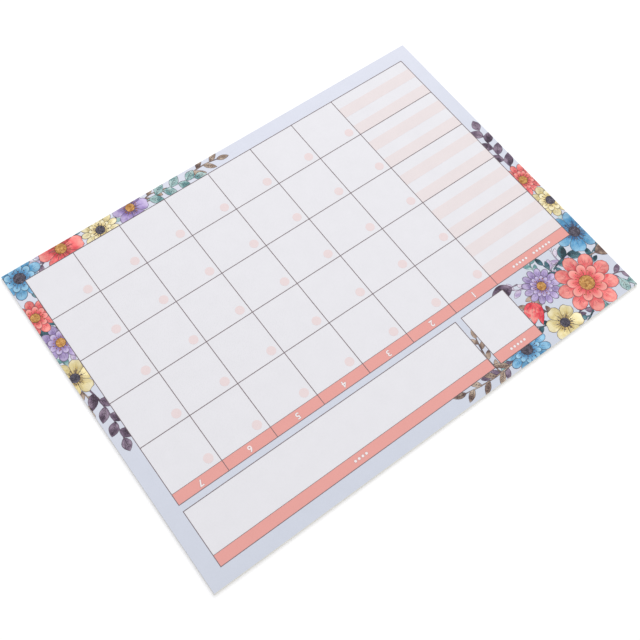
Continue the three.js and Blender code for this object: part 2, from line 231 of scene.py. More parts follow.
def paper_tooth(tree, coordinates, depth):
    """The normal of a fibrous sheet: short fibres that stand up a little."""
    fibres = add(tree, "ShaderNodeTexNoise", {"Vector": coordinates, "Scale": 1 / FIBRE_SIZE, "Detail": 3.0,
                                              "Roughness": 0.65})
    bump = add(tree, "ShaderNodeBump", {"Height": fibres.outputs["Fac"], "Strength": 0.35, "Distance": depth})
    return bump.outputs["Normal"]


def clouded(tree, coordinates, colour, amount):
    """A colour made a little lighter and darker in clouds."""
    clouds = add(tree, "ShaderNodeTexNoise", {"Vector": coordinates, "Scale": 1 / CLOUD_SIZE, "Detail": 5.0,
                                              "Roughness": 0.6})
    level = add(tree, "ShaderNodeMapRange", {"Value": clouds.outputs["Fac"], "From Min": 0.3, "From Max": 0.7,
                                             "To Min": 1 - amount, "To Max": 1 + amount})
    scaled = add(tree, "ShaderNodeVectorMath", {0: colour, 1: level.outputs[0]}, operation="MULTIPLY")
    return scaled.outputs[0]


def halftone(tree, coordinates, colour, amount):
    """The fine screen of dots that a pale printed tint is made of, turned by 45 degrees."""
    turned = add(tree, "ShaderNodeMapping", {"Vector": coordinates, "Rotation": (0, 0, math.radians(45))})
    dots = add(tree, "ShaderNodeTexVoronoi", {"Vector": turned.outputs[0], "Scale": 1 / SCREEN_PITCH,
                                              "Randomness": 0.0}, voronoi_dimensions="2D")
    level = add(tree, "ShaderNodeMapRange", {"Value": dots.outputs["Distance"], "From Min": 0.25, "From Max": 0.6,
                                             "To Min": 1 - amount, "To Max": 1 + amount})
    return add(tree, "ShaderNodeVectorMath", {0: colour, 1: level.outputs[0]}, operation="MULTIPLY").outputs[0]


def sheet_material(name, hex_colour, roughness=0.88, amount=0.012, screen=0.0, shade_at_head=""):
    """Paper, or ink on paper. A tint can be given a darker colour at the head edge, which is painted shade."""
    material, tree = new_finish(name)
    place = add(tree, "ShaderNodeTexCoord").outputs["Object"]
    colour = linear(hex_colour)[:3]
    # Painted shade: the tint is mixed towards a darker colour at the head edge, as if less light fell there
    if shade_at_head:
        up = add(tree, "ShaderNodeSeparateXYZ", {0: place}).outputs[1]
        share = add(tree, "ShaderNodeMapRange", {"Value": up, "From Min": SHEET_LOW.y, "From Max": SHEET_HIGH.y})
        colour = add(tree, "ShaderNodeMix", {0: share.outputs[0], 6: linear(hex_colour), 7: linear(shade_at_head)},
                     data_type="RGBA").outputs[2]
    colour = clouded(tree, place, colour, amount)
    if screen:
        colour = halftone(tree, place, colour, screen)
    shader = add(tree, "ShaderNodeBsdfPrincipled", {"Base Color": colour, "Roughness": roughness,
                                                    "Specular IOR Level": 0.25,
                                                    "Normal": paper_tooth(tree, place, TOOTH_DEPTH)})
    add(tree, "ShaderNodeOutputMaterial", {"Surface": shader.outputs[0]})
    return material


print("screen of", round(25.4 * MM / SCREEN_PITCH), "lines to the inch")

# %% [markdown]
# ## The flat inks
# The ruled page is printed by offset lithography. A line is one thin matt coat. A pale field is a screen of
# fine dots with bare paper between them, which the eye blends to a tint. The border's tint is painted a little
# darker towards the head edge, which is painted shade, as if less light fell there. The flowers' inks are
# painted later, in their own finishes.

# %% The flat inks
# Painted shade: the darker colour that the border's tint reaches at the head edge
TINT_SHADE_AT_HEAD = "#D7DCE9"
flat_materials = {
    # Uncoated writing paper: matt, faintly cool white
    "paper": sheet_material("uncoated_writing_paper", "#EDECF1"),
    # Screened litho tints: matt pale colour that is never quite even
    # The pale blue tint is also painted darker towards the head edge: painted shade
    "tint_ink": sheet_material("pale_blue_litho_tint_and_painted_shade", "#E2E5F2", screen=SCREEN_STRENGTH, shade_at_head=TINT_SHADE_AT_HEAD),
    "band_ink": sheet_material("coral_litho_tint", "#EFAAA3", screen=SCREEN_STRENGTH),
    "blush_ink": sheet_material("blush_litho_tint", "#EEE4E5", screen=SCREEN_STRENGTH),
    # Solid litho ink: thin dark lines with no gloss
    "rule_ink": sheet_material("warm_grey_litho_line", "#7F7074"),
}
print("flat finishes:", len(flat_materials))

# %% [markdown]
# ## Greyboard
# The back is unlined greyboard, made of recycled pulp. Its colour is a warm grey with pale and dark flecks of
# other papers, and the pulp lies along the sheet, so a noise and the flecks are squeezed across it.

# %% Greyboard
GREYBOARD = "#A39D93"
GRAIN_STRETCH = 9
PULP_SIZE = 3 * MM
# Tone, spacing and shift of the dark and the pale flecks
FLECKS = (("#6D675F", 1.3 * MM, 0.0), ("#CBC6BB", 1.7 * MM, 0.013))


def greyboard_material():
    """Unlined greyboard: matt recycled pulp with flecks and a faint grain along the sheet."""
    material, tree = new_finish("unlined_greyboard")
    place = add(tree, "ShaderNodeTexCoord").outputs["Object"]
    colour = clouded(tree, place, linear(GREYBOARD)[:3], 0.06)
    grain = add(tree, "ShaderNodeMapping", {"Vector": place, "Scale": (1, GRAIN_STRETCH, 1)}).outputs[0]
    pulp = add(tree, "ShaderNodeTexNoise", {"Vector": grain, "Scale": 1 / PULP_SIZE, "Detail": 6.0})
    level = add(tree, "ShaderNodeMapRange", {"Value": pulp.outputs["Fac"], "From Min": 0.3, "From Max": 0.7,
                                             "To Min": 0.9, "To Max": 1.1}).outputs[0]
    colour = add(tree, "ShaderNodeVectorMath", {0: colour, 1: level}, operation="MULTIPLY").outputs[0]
    for tone, size, shift in FLECKS:
        shifted = add(tree, "ShaderNodeMapping", {"Vector": grain, "Location": (shift, shift, shift)}).outputs[0]
        cells = add(tree, "ShaderNodeTexVoronoi", {"Vector": shifted, "Scale": 1 / size})
        fleck = add(tree, "ShaderNodeMapRange", {"Value": cells.outputs["Distance"], "From Min": 0.1,
                                                 "From Max": 0.22, "To Min": 0.75, "To Max": 0.0}).outputs[0]
        mix = add(tree, "ShaderNodeMix", {0: fleck, 6: colour, 7: linear(tone)}, data_type="RGBA")
        colour = mix.outputs[2]
    shader = add(tree, "ShaderNodeBsdfPrincipled", {"Base Color": colour, "Roughness": 0.92,
                                                    "Normal": paper_tooth(tree, place, 0.05 * MM)})
    add(tree, "ShaderNodeOutputMaterial", {"Surface": shader.outputs[0]})
    return material


flat_materials["greyboard"] = greyboard_material()
print("greyboard with", len(FLECKS), "kinds of fleck")

# %% [markdown]
# ## Padding glue
# The head edge is brushed with white padding glue, which dries to a satin, rubbery film. The brush runs along
# the edge, so its ripple is a fine noise that is stretched that way.

# %% Padding glue
GLUE_WHITE = "#E6E3DB"
RIPPLE_SIZE = 0.4 * MM


def glue_material():
    """Dried white padding glue: a satin film with the ripple of the brush along the edge."""
    material, tree = new_finish("dried_padding_glue")
    place = add(tree, "ShaderNodeTexCoord").outputs["Object"]
    colour = clouded(tree, place, linear(GLUE_WHITE)[:3], 0.03)
    drawn = add(tree, "ShaderNodeMapping", {"Vector": place, "Scale": (0.15, 1, 1)}).outputs[0]
    ripple = add(tree, "ShaderNodeTexNoise", {"Vector": drawn, "Scale": 1 / RIPPLE_SIZE, "Detail": 2.0})
    bump = add(tree, "ShaderNodeBump", {"Height": ripple.outputs["Fac"], "Strength": 0.4, "Distance": 0.05 * MM})
    shader = add(tree, "ShaderNodeBsdfPrincipled", {"Base Color": colour, "Roughness": 0.42,
                                                    "Normal": bump.outputs[0]})
    add(tree, "ShaderNodeOutputMaterial", {"Surface": shader.outputs[0]})
    return material


flat_materials["padding_glue"] = glue_material()
SLOT_OF = {piece["node"]: piece["material_slot"] for piece in frame["record"]["subparts"]}
flat_nodes = [node for node, slot in SLOT_OF.items() if slot in flat_materials]
for node in flat_nodes:
    dress(node, flat_materials[SLOT_OF[node]])
print("nodes with a flat finish:", len(flat_nodes))

# %% [markdown]
# ## How Geometry Nodes are used here
# What repeats or follows an outline is grown by a small node tree: the stack of leaves, the date discs, the
# title dots and every inked line of the flowers. A tree has named inputs for its sizes and ends by making
# its instances real and giving them their finish. The result is kept as a plain mesh that rides with the pad.

# %% Helpers for geometry trees
INPUT_KINDS = {float: "NodeSocketFloat", int: "NodeSocketInt", Vector: "NodeSocketVector"}


def geometry_tree(name, sizes):
    """A tree with the incoming geometry and one named input for each size. Returns it and its inputs."""
    tree = bpy.data.node_groups.new(name, "GeometryNodeTree")
    tree.interface.new_socket("Geometry", in_out="INPUT", socket_type="NodeSocketGeometry")
    for label, value in sizes.items():
        tree.interface.new_socket(label, in_out="INPUT", socket_type=INPUT_KINDS[type(value)])
    tree.interface.new_socket("Geometry", in_out="OUTPUT", socket_type="NodeSocketGeometry")
    return tree, add(tree, "NodeGroupInput").outputs


def end_tree(tree, geometry, material):
    """Makes instances real, gives them their finish and ends the tree."""
    real = add(tree, "GeometryNodeRealizeInstances", {"Geometry": geometry})
    inked = add(tree, "GeometryNodeSetMaterial", {"Geometry": real.outputs[0], "Material": material})
    add(tree, "NodeGroupOutput", {"Geometry": inked.outputs[0]})


def adopt(piece):
    """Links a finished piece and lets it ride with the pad."""
    bpy.context.scene.collection.objects.link(piece)
    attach(piece, "root")
    print(piece.name, len(piece.data.polygons), "faces")
    return piece


def run_tree(tree, sizes, mesh):
    """Runs a tree once on a mesh and returns the plain result."""
    maker = bpy.data.objects.new("maker", mesh)
    bpy.context.scene.collection.objects.link(maker)
    modifier = maker.modifiers.new("grow", "NODES")
    modifier.node_group = tree
    for item in tree.interface.items_tree:
        if item.in_out == "INPUT" and item.name in sizes:
            value = sizes[item.name]
            modifier[item.identifier] = list(value) if isinstance(value, Vector) else value
    shown = maker.evaluated_get(bpy.context.evaluated_depsgraph_get())
    result = bpy.data.meshes.new_from_object(shown)
    bpy.data.objects.remove(maker)
    return result


def grown(name, tree, sizes, mesh=None):
    """Runs a tree and keeps the result as a piece."""
    result = run_tree(tree, sizes, mesh or bpy.data.meshes.new(name))
    result.name = name
    return adopt(bpy.data.objects.new(name, result))


print("a tree's inputs can be", ", ".join(kind.__name__ for kind in INPUT_KINDS))

# %% [markdown]
# ## The leaves
# A guillotine cuts the whole pad at once, but leaves slip a little while they are glued. Twelve thin slabs
# stand on each other with a hair of air between them. All but the top one are set in by a random tenth of a
# millimetre, so the cut edge shows its leaves. Lines in the finish of one block would look like that from afar,
# but separate leaves still read as leaves in a close-up and at a low angle.

# %% The leaves
LEAF_COUNT = 12
SLIP = 0.12 * MM
SLIP_SEED = 11
LEAF_GAP = 0.012 * MM
# How much smaller a leaf is drawn for each metre that it slips, which keeps it inside the block
INSET_PER_SLIP = -9.0


def leaf_stack_tree(sizes):
    """Slabs on each other, all but the top one slipped and set in a little."""
    tree, given = geometry_tree("leaf_stack", sizes)
    line = add(tree, "GeometryNodeMeshLine", {"Count": given["Leaves"]})
    step = add(tree, "ShaderNodeMath", {0: given["Block height"], 1: given["Leaves"]}, operation="DIVIDE")
    index = add(tree, "GeometryNodeInputIndex").outputs[0]
    middle = add(tree, "ShaderNodeMath", {0: index, 1: 0.5}, operation="ADD")
    height = add(tree, "ShaderNodeMath", {0: middle.outputs[0], 1: step.outputs[0], 2: given["Bottom"]},
                 operation="MULTIPLY_ADD")
    top = add(tree, "ShaderNodeMath", {0: given["Leaves"], 1: 1.0}, operation="SUBTRACT")
    is_under = add(tree, "FunctionNodeCompare", {0: index, 1: top.outputs[0]}, operation="LESS_THAN")
    slip = add(tree, "FunctionNodeRandomValue", {0: (-1, -1, 0), 1: (1, 1, 0), "Seed": SLIP_SEED},
               data_type="FLOAT_VECTOR")
    amount = add(tree, "ShaderNodeMath", {0: given["Slip"], 1: is_under.outputs[0]}, operation="MULTIPLY")
    moved = add(tree, "ShaderNodeVectorMath", {0: slip.outputs[0], "Scale": amount.outputs[0]}, operation="SCALE")
    lifted = add(tree, "ShaderNodeCombineXYZ", {"Z": height.outputs[0]})
    place = add(tree, "ShaderNodeVectorMath", {0: moved.outputs[0], 1: lifted.outputs[0]}, operation="ADD")
    centred = add(tree, "ShaderNodeVectorMath", {0: place.outputs[0], 1: given["Middle"]}, operation="ADD")
    points = add(tree, "GeometryNodeSetPosition", {"Geometry": line.outputs[0], "Position": centred.outputs[0]})
    sheet = add(tree, "ShaderNodeSeparateXYZ", {0: given["Sheet"]})
    thick = add(tree, "ShaderNodeMath", {0: step.outputs[0], 1: given["Air"]}, operation="SUBTRACT")
    size = add(tree, "ShaderNodeCombineXYZ", {"X": sheet.outputs[0], "Y": sheet.outputs[1], "Z": thick.outputs[0]})
    slab = add(tree, "GeometryNodeMeshCube", {"Size": size.outputs[0]})
    inset = add(tree, "ShaderNodeMath", {0: amount.outputs[0], 1: INSET_PER_SLIP, 2: 1.0},
                operation="MULTIPLY_ADD")
    smaller = add(tree, "ShaderNodeCombineXYZ", {"X": inset.outputs[0], "Y": inset.outputs[0], "Z": 1.0})
    leaves = add(tree, "GeometryNodeInstanceOnPoints", {"Points": points.outputs[0], "Instance": slab.outputs[0],
                                                        "Scale": smaller.outputs[0]})
    end_tree(tree, leaves.outputs[0], flat_materials["paper"])
    return tree


sheet_size = SHEET_HIGH - SHEET_LOW
leaf_sizes = {
    "Leaves": LEAF_COUNT,
    "Block height": PAGE_LEVEL - BOARD_TOP,
    "Bottom": BOARD_TOP + LEAF_GAP / 2,
    "Slip": SLIP,
    "Air": LEAF_GAP,
    "Sheet": Vector((sheet_size.x, sheet_size.y, 0)),
    "Middle": Vector(((SHEET_LOW.x + SHEET_HIGH.x) / 2, (SHEET_LOW.y + SHEET_HIGH.y) / 2, 0)),
}
leaves = grown("writing_leaves", leaf_stack_tree(leaf_sizes), leaf_sizes)
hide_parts("leaf_block")

# %% [markdown]
# ## Where the print lies
# The ruled boxes are read from the frame, to the middle of their lines. Seven day columns stand to the right
# of the notes column, over five weeks.

# %% The printed layout
DAYS = 7
WEEKS = 5
# The width of a ruled line
RULE = 0.36 * MM


def ruled_box(node):
    """The left, foot, right and head of a ruled box, to the middle of its lines."""
    low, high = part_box(node)
    return low.x + RULE / 2, low.y + RULE / 2, high.x - RULE / 2, high.y - RULE / 2


CALENDAR = ruled_box("print_calendar_rules")
MONTH = ruled_box("print_month_rules")
MEMO = ruled_box("print_memo_rules")
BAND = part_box("print_calendar_band")[1].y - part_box("print_calendar_band")[0].y
FIRST_DAY = MONTH[0]
DAY_WIDTH = (CALENDAR[2] - FIRST_DAY) / DAYS
ROWS_TOP = CALENDAR[3] - BAND
ROW_HEIGHT = (ROWS_TOP - CALENDAR[1]) / WEEKS
print("day cell in mm:", round(DAY_WIDTH / MM, 2), "by", round(ROW_HEIGHT / MM, 2))

# %% [markdown]
# ## A grid of printed discs
# A pale pink disc in the corner of each cell waits for its date, and small dots stand in the title bands. Both
# are discs of ink in rows and columns, so one tree sets them all on a grid, with the count, the spacing and
# the radius as inputs.

# %% The tree of discs
def disc_grid_tree(name, sizes, material):
    """Discs of ink on the points of a grid."""
    tree, given = geometry_tree(name, sizes)
    count = add(tree, "ShaderNodeSeparateXYZ", {0: given["Count"]})
    pitch = add(tree, "ShaderNodeSeparateXYZ", {0: given["Pitch"]})
    spans = []
    for axis in (0, 1):
        steps = add(tree, "ShaderNodeMath", {0: count.outputs[axis], 1: 1.0}, operation="SUBTRACT")
        span = add(tree, "ShaderNodeMath", {0: steps.outputs[0], 1: pitch.outputs[axis]}, operation="MULTIPLY")
        spans.append(span.outputs[0])
    grid = add(tree, "GeometryNodeMeshGrid", {"Size X": spans[0], "Size Y": spans[1],
                                              "Vertices X": count.outputs[0], "Vertices Y": count.outputs[1]})
    moved = add(tree, "GeometryNodeSetPosition", {"Geometry": grid.outputs[0], "Offset": given["Middle"]})
    disc = add(tree, "GeometryNodeMeshCylinder", {"Vertices": given["Sides"], "Radius": given["Radius"],
                                                  "Depth": given["Ink"]})
    discs = add(tree, "GeometryNodeInstanceOnPoints", {"Points": moved.outputs[0], "Instance": disc.outputs[0]})
    end_tree(tree, discs.outputs[0], material)
    return tree


def disc_grid(name, count, pitch, middle, radius, ink, sides, material):
    """A grid of discs of ink. middle is the grid's middle, on what the ink lies on."""
    lifted = Vector((middle[0], middle[1], middle[2] + ink / 2))
    sizes = {"Count": Vector((*count, 0)), "Pitch": Vector((*pitch, 0)), "Middle": lifted,
             "Radius": radius, "Ink": ink, "Sides": sides}
    return grown(name, disc_grid_tree(name, sizes, material), sizes)


print("cells to fill:", DAYS * WEEKS)

# %% [markdown]
# ## Date discs and title dots
# The date discs are screened blush ink on the page. The dots are bare paper that the coral band leaves out,
# so they take the paper's finish, and a thin grey edge shows where the two inks meet.

# %% Date discs and title dots
DISC_RADIUS = 2.6 * MM
DISC_INSET = 4.85 * MM
DISC_SIDES = 40
DOT_RADIUS = 0.72 * MM
DOT_PITCH = 2.3 * MM
DOT_SIDES = 24
REVERSED_INK = 0.012 * MM
KEYLINE = 0.13 * MM
# Screened blush ink, bare paper that the band's ink leaves out, and the soft edge where two inks meet
disc_material = sheet_material("blush_date_disc_tint", "#F0DFE0", screen=SCREEN_STRENGTH)
reversed_material = sheet_material("bare_paper_in_band", "#F8F0F1")
keyline_material = sheet_material("soft_grey_keyline", "#B98F8E")

disc_middle = (FIRST_DAY + DISC_INSET + DAY_WIDTH * (DAYS - 1) / 2,
               ROWS_TOP - DISC_INSET - ROW_HEIGHT * (WEEKS - 1) / 2, PAGE_LEVEL)
disc_grid("date_discs", (DAYS, WEEKS), (DAY_WIDTH, ROW_HEIGHT), disc_middle, DISC_RADIUS,
          FIRST_INK - PAGE_LEVEL, DISC_SIDES, disc_material)


def title_dots(name, box, middle_x, count):
    """A row of dots in a title band, and the thin edge round each."""
    middle = (middle_x, box[3] - BAND / 2, FIRST_INK)
    pitch = (DOT_PITCH, DOT_PITCH)
    disc_grid(name, (count, 1), pitch, middle, DOT_RADIUS, REVERSED_INK, DOT_SIDES, reversed_material)
    disc_grid(name + "_edges", (count, 1), pitch, middle, DOT_RADIUS + KEYLINE, REVERSED_INK / 2, DOT_SIDES,
              keyline_material)


notes_middle = (CALENDAR[0] + FIRST_DAY) / 2
title_dots("notes_title_dots_left", CALENDAR, notes_middle - 3.6 * DOT_PITCH, 6)
title_dots("notes_title_dots_right", CALENDAR, notes_middle + 3.4 * DOT_PITCH, 5)
title_dots("month_title_dots", MONTH, (MONTH[0] + MONTH[2]) / 2, 5)
title_dots("memo_title_dots", MEMO, (MEMO[0] + MEMO[2]) / 2, 4)

# %% [markdown]
# ## Joining meshes
# Many small marks make one piece when they share a finish, which keeps the list of pieces short. bmesh joins
# them in order and merges corners that lie on one another.

# %% Helpers for joining
def joined(name, meshes, merge=0.0):
    """One mesh of several. Corners nearer than merge become one."""
    whole = bmesh.new()
    for mesh in meshes:
        whole.from_mesh(mesh)
    if merge:
        bmesh.ops.remove_doubles(whole, verts=whole.verts, dist=merge)
    result = bpy.data.meshes.new(name)
    whole.to_mesh(result)
    whole.free()
    return result


def merged(name, meshes, material):
    """One piece of several meshes, in one finish."""
    result = joined(name, meshes, merge=0.0005 * MM)
    result.polygons.foreach_set("material_index", [0] * len(result.polygons))
    result.materials.append(material)
    return adopt(bpy.data.objects.new(name, result))


print("the helpers for joining are ready")

# %% [markdown]
# ## Day numerals
# The day columns carry plain numerals. They are bare paper in the coral band, so they take the paper's
# finish, and a text object turned to a mesh gives them their outline.

# %% Day numerals
NUMERAL_HEIGHT = 3.5 * MM
# A figure's height as a share of the size of its type
CAP_SHARE = 0.71
BOLDER = 0.1 * MM


def numeral(day, swell, ink):
    """One numeral as a mesh in its place, with strokes swollen by a given amount."""
    text = bpy.data.curves.new("numeral", "FONT")
    text.body = str(day + 1)
    text.align_x = "CENTER"
    text.align_y = "CENTER"
    text.size = NUMERAL_HEIGHT / CAP_SHARE
    text.offset = swell
    text.extrude = ink / 2
    text.resolution_u = 6
    holder = bpy.data.objects.new("numeral", text)
    bpy.context.scene.collection.objects.link(holder)
    shown = holder.evaluated_get(bpy.context.evaluated_depsgraph_get())
    mesh = bpy.data.meshes.new_from_object(shown)
    bpy.data.objects.remove(holder)
    place = (FIRST_DAY + (day + 0.5) * DAY_WIDTH, CALENDAR[3] - BAND / 2, FIRST_INK + ink / 2)
    mesh.transform(Matrix.Translation(place))
    return mesh


merged("day_numerals", [numeral(day, BOLDER, REVERSED_INK) for day in range(DAYS)], reversed_material)
edges = [numeral(day, BOLDER + KEYLINE, REVERSED_INK / 2) for day in range(DAYS)]
merged("day_numeral_edges", edges, keyline_material)

# %% [markdown]
# ## Where the flowers stand
# The frame's flowers are flat fields. To paint petals on them, a material has to know where each flower's
# middle is and how its petals turn. The places are shares of the border's parts, which come from the frame.

# %% The flowers, by name
BLOOM_RADIUS = {"large": 18 * MM, "medium": 13.5 * MM, "small": 11 * MM}
EYE_SHARE = 0.25
# Number of petals, how far in they are parted, and the inner ring's size, as shares of the radius
KINDS = {
    "daisy": {"petals": 9, "waist": 0.62, "inner": 0.62},
    "cosmos": {"petals": 6, "waist": 0.62, "inner": 0.0},
    "aster": {"petals": 13, "waist": 0.68, "inner": 0.58},
}
SHEET = (SHEET_LOW.x, SHEET_LOW.y, SHEET_HIGH.x, SHEET_HIGH.y)
CORNER = (SHEET[0], CALENDAR[3], MONTH[0], SHEET[3])
LEFT_MARGIN = (SHEET[0], SHEET[1], CALENDAR[0], CALENDAR[3])
RIGHT_MARGIN = (CALENDAR[2], SHEET[1], SHEET[2], CALENDAR[3])
HEAD_MARGIN = (MONTH[0], MONTH[3], SHEET[2], SHEET[3])
FOOT_MARGIN = (SHEET[0], SHEET[1], SHEET[2], CALENDAR[1])
# Kind, size, part of the border, share of the way across and up, and turn in degrees
BLOOMS = {
    "coral_daisy": ("daisy", "large", CORNER, (0.35, 0.62), 10),
    "yellow_cosmos": ("cosmos", "small", CORNER, (0.77, 0.86), 12),
    "blue_aster": ("aster", "medium", HEAD_MARGIN, (0.06, 0.2), 4),
    "blue_cosmos": ("cosmos", "medium", LEFT_MARGIN, (0.6, 1.0), 30),
    "lilac_aster": ("aster", "small", CORNER, (0.7, 0.33), 8),
    "yellow_daisy": ("daisy", "small", LEFT_MARGIN, (0.25, 0.855), 15),
    "coral_aster": ("aster", "small", LEFT_MARGIN, (0.65, 0.735), 5),
    "blue_daisy": ("daisy", "medium", RIGHT_MARGIN, (0.2, 0.04), 8),
    "coral_cosmos": ("cosmos", "medium", FOOT_MARGIN, (0.875, 0.35), 20),
    "yellow_aster": ("aster", "small", FOOT_MARGIN, (0.79, 0.6), 6),
    "lilac_cosmos": ("cosmos", "small", FOOT_MARGIN, (0.715, 0.3), 15),
    "coral_button": ("daisy", "small", RIGHT_MARGIN, (0.7, 0.2), 3),
    "lilac_daisy": ("daisy", "small", RIGHT_MARGIN, (0.3, 0.325), 11),
    "yellow_button": ("cosmos", "small", RIGHT_MARGIN, (0.75, 0.46), 25),
}
# Deep, middle and light tone of each wash
WASHES = {
    "coral": ("#D93B4E", "#F4656B", "#FCAEA4"),
    "blue": ("#2F6FA8", "#5CA3D3", "#A3D0EA"),
    "yellow": ("#D8B765", "#F3E0A0", "#FBF3D2"),
    "lilac": ("#765C9F", "#A690CB", "#D3C6E6"),
}


def spot(zone, share):
    """A place in one part of the border, by its share of the way across and up."""
    left, foot, right, head = zone
    return Vector((left + (right - left) * share[0], foot + (head - foot) * share[1], SECOND_INK))


print("blooms:", len(BLOOMS))

# %% [markdown]
# ## A ring of petals as a formula
# A petal swells and closes once as the angle goes round, so a little polar arithmetic tells a material which
# petal a point is in, how far it is from that petal's side, and how near it is to the rim. The arithmetic is
# kept in one node group, with the number of petals, the radius and the waist as named inputs.

# %% The petal formula as a node group
def petal_formula():
    """Petal's number, way across it, distances to its side and to the rim, and distance from the middle."""
    group = bpy.data.node_groups.new("petal_ring", "ShaderNodeTree")
    group.interface.new_socket("Place", in_out="INPUT", socket_type="NodeSocketVector")
    for label in ("Petals", "Radius", "Waist"):
        group.interface.new_socket(label, in_out="INPUT", socket_type="NodeSocketFloat")
    for label in ("Petal", "Along", "Side", "Rim", "Out"):
        group.interface.new_socket(label, in_out="OUTPUT", socket_type="NodeSocketFloat")
    given = add(group, "NodeGroupInput").outputs
    axes = add(group, "ShaderNodeSeparateXYZ", {0: given["Place"]}).outputs
    out = add(group, "ShaderNodeVectorMath", {0: given["Place"]}, operation="LENGTH").outputs["Value"]
    angle = add(group, "ShaderNodeMath", {0: axes[1], 1: axes[0]}, operation="ARCTAN2").outputs[0]
    per_turn = add(group, "ShaderNodeMath", {0: given["Petals"], 1: 2 * math.pi}, operation="DIVIDE").outputs[0]
    counted = add(group, "ShaderNodeMath", {0: angle, 1: per_turn}, operation="MULTIPLY").outputs[0]
    petal = add(group, "ShaderNodeMath", {0: counted}, operation="FLOOR").outputs[0]
    along = add(group, "ShaderNodeMath", {0: counted, 1: petal}, operation="SUBTRACT").outputs[0]
    back = add(group, "ShaderNodeMath", {0: 1.0, 1: along}, operation="SUBTRACT").outputs[0]
    nearer = add(group, "ShaderNodeMath", {0: along, 1: back}, operation="MINIMUM").outputs[0]
    arc = add(group, "ShaderNodeMath", {0: out, 1: per_turn}, operation="DIVIDE").outputs[0]
    side = add(group, "ShaderNodeMath", {0: nearer, 1: arc}, operation="MULTIPLY").outputs[0]
    half_turn = add(group, "ShaderNodeMath", {0: along, 1: math.pi}, operation="MULTIPLY").outputs[0]
    wave = add(group, "ShaderNodeMath", {0: half_turn}, operation="SINE").outputs[0]
    swell = add(group, "ShaderNodeMath", {0: wave, 1: 0.5}, operation="POWER").outputs[0]
    rest = add(group, "ShaderNodeMath", {0: 1.0, 1: given["Waist"]}, operation="SUBTRACT").outputs[0]
    share = add(group, "ShaderNodeMath", {0: swell, 1: rest, 2: given["Waist"]},
                operation="MULTIPLY_ADD").outputs[0]
    reach = add(group, "ShaderNodeMath", {0: share, 1: given["Radius"]}, operation="MULTIPLY").outputs[0]
    rim = add(group, "ShaderNodeMath", {0: reach, 1: out}, operation="SUBTRACT").outputs[0]
    add(group, "NodeGroupOutput", {"Petal": petal, "Along": along, "Side": side, "Rim": rim, "Out": out})
    return group


PETAL_RING = petal_formula()
print("a ring of petals has", ", ".join(socket.name for socket in PETAL_RING.interface.items_tree))

# %% [markdown]
# ## Watercolour
# The print imitates watercolour on paper: uneven pigment that wanders, washes that run into one another, and
# grains that settle in the tooth. These helpers are the brush. All distances inside the materials are in
# millimetres, from the flower's middle where it has one.

# %% Helpers for washes
# Clouds in a wet wash are some millimetres wide. Real grains of pigment are about a tenth of a millimetre, and
# they are drawn coarser, so that they show
WASH_SIZE = 4.5
GRAIN_SIZE = 0.5


def wash_noise(tree, place, size, detail, low, high):
    """Uneven pigment: a factor that wanders between low and high."""
    cloud = add(tree, "ShaderNodeTexNoise", {"Vector": place, "Scale": 1 / size, "Detail": detail,
                                             "Roughness": 0.6, "Distortion": 0.5})
    factor = add(tree, "ShaderNodeMapRange", {"Value": cloud.outputs["Fac"], "From Min": 0.32, "From Max": 0.68,
                                              "To Min": low, "To Max": high})
    return factor.outputs[0]


def washed(tree, colour, tone, value, start, end, weak=0.0, strong=1.0):
    """Lays a tone over a colour, from weak to strong while value goes from start to end."""
    amount = add(tree, "ShaderNodeMapRange", {"Value": value, "From Min": start, "From Max": end, "To Min": weak,
                                              "To Max": strong}, interpolation_type="SMOOTHSTEP").outputs[0]
    return add(tree, "ShaderNodeMix", {0: amount, 6: colour, 7: tone}, data_type="RGBA").outputs[2]


def painted_shader(tree, colour, place):
    """The last nodes of every painted finish: the colour with grain, on paper with its tooth."""
    grain = wash_noise(tree, place, GRAIN_SIZE, 3.0, 0.94, 1.05)
    grained = add(tree, "ShaderNodeVectorMath", {0: colour, 1: grain}, operation="MULTIPLY").outputs[0]
    on_paper = add(tree, "ShaderNodeTexCoord").outputs["Object"]
    shader = add(tree, "ShaderNodeBsdfPrincipled", {"Base Color": grained, "Roughness": 0.82,
                                                    "Specular IOR Level": 0.28,
                                                    "Normal": paper_tooth(tree, on_paper, TOOTH_DEPTH)})
    add(tree, "ShaderNodeOutputMaterial", {"Surface": shader.outputs[0]})


def centred_place(tree, middle, degrees):
    """Object coordinates in millimetres, from a flower's middle and turned with it."""
    place = add(tree, "ShaderNodeTexCoord").outputs["Object"]
    mapping = add(tree, "ShaderNodeMapping", {"Vector": place, "Location": middle,
                                              "Rotation": (0, 0, math.radians(degrees)), "Scale": (MM, MM, MM)},
                  vector_type="TEXTURE")
    return mapping.outputs[0]


print("clouds of", WASH_SIZE, "mm and grains of", GRAIN_SIZE, "mm")

# %% [markdown]
# ## Painted petals
# A petal's wash is deep at the heart, pales outwards and pools at its rim. It is brushed from the heart to the
# tip, takes a tone of its own, and is darker where its neighbour lies over it. Daisies and asters have a
# second, smaller ring of petals on top, half a petal further round. Pen lines part the petals. The frame gives
# a whole flower as one flat field, so the formula tells its petals apart, and not meshes of their own.

# %% The parts of a painted petal
# The width of a fine drawing pen's line, in millimetres
PEN = 0.16
PEN_INK = "#4B4049"
# How little the brushed streaks change along a petal, against across it
BRUSH_STRETCH = 0.07


def pen_over(tree, colour, lines):
    """Draws pen lines over a colour. Each line is a distance that is near zero on the line."""
    for distance in lines:
        colour = washed(tree, colour, linear(PEN_INK), distance, PEN * 0.6, PEN * 1.5, 0.72, 0.0)
    return colour


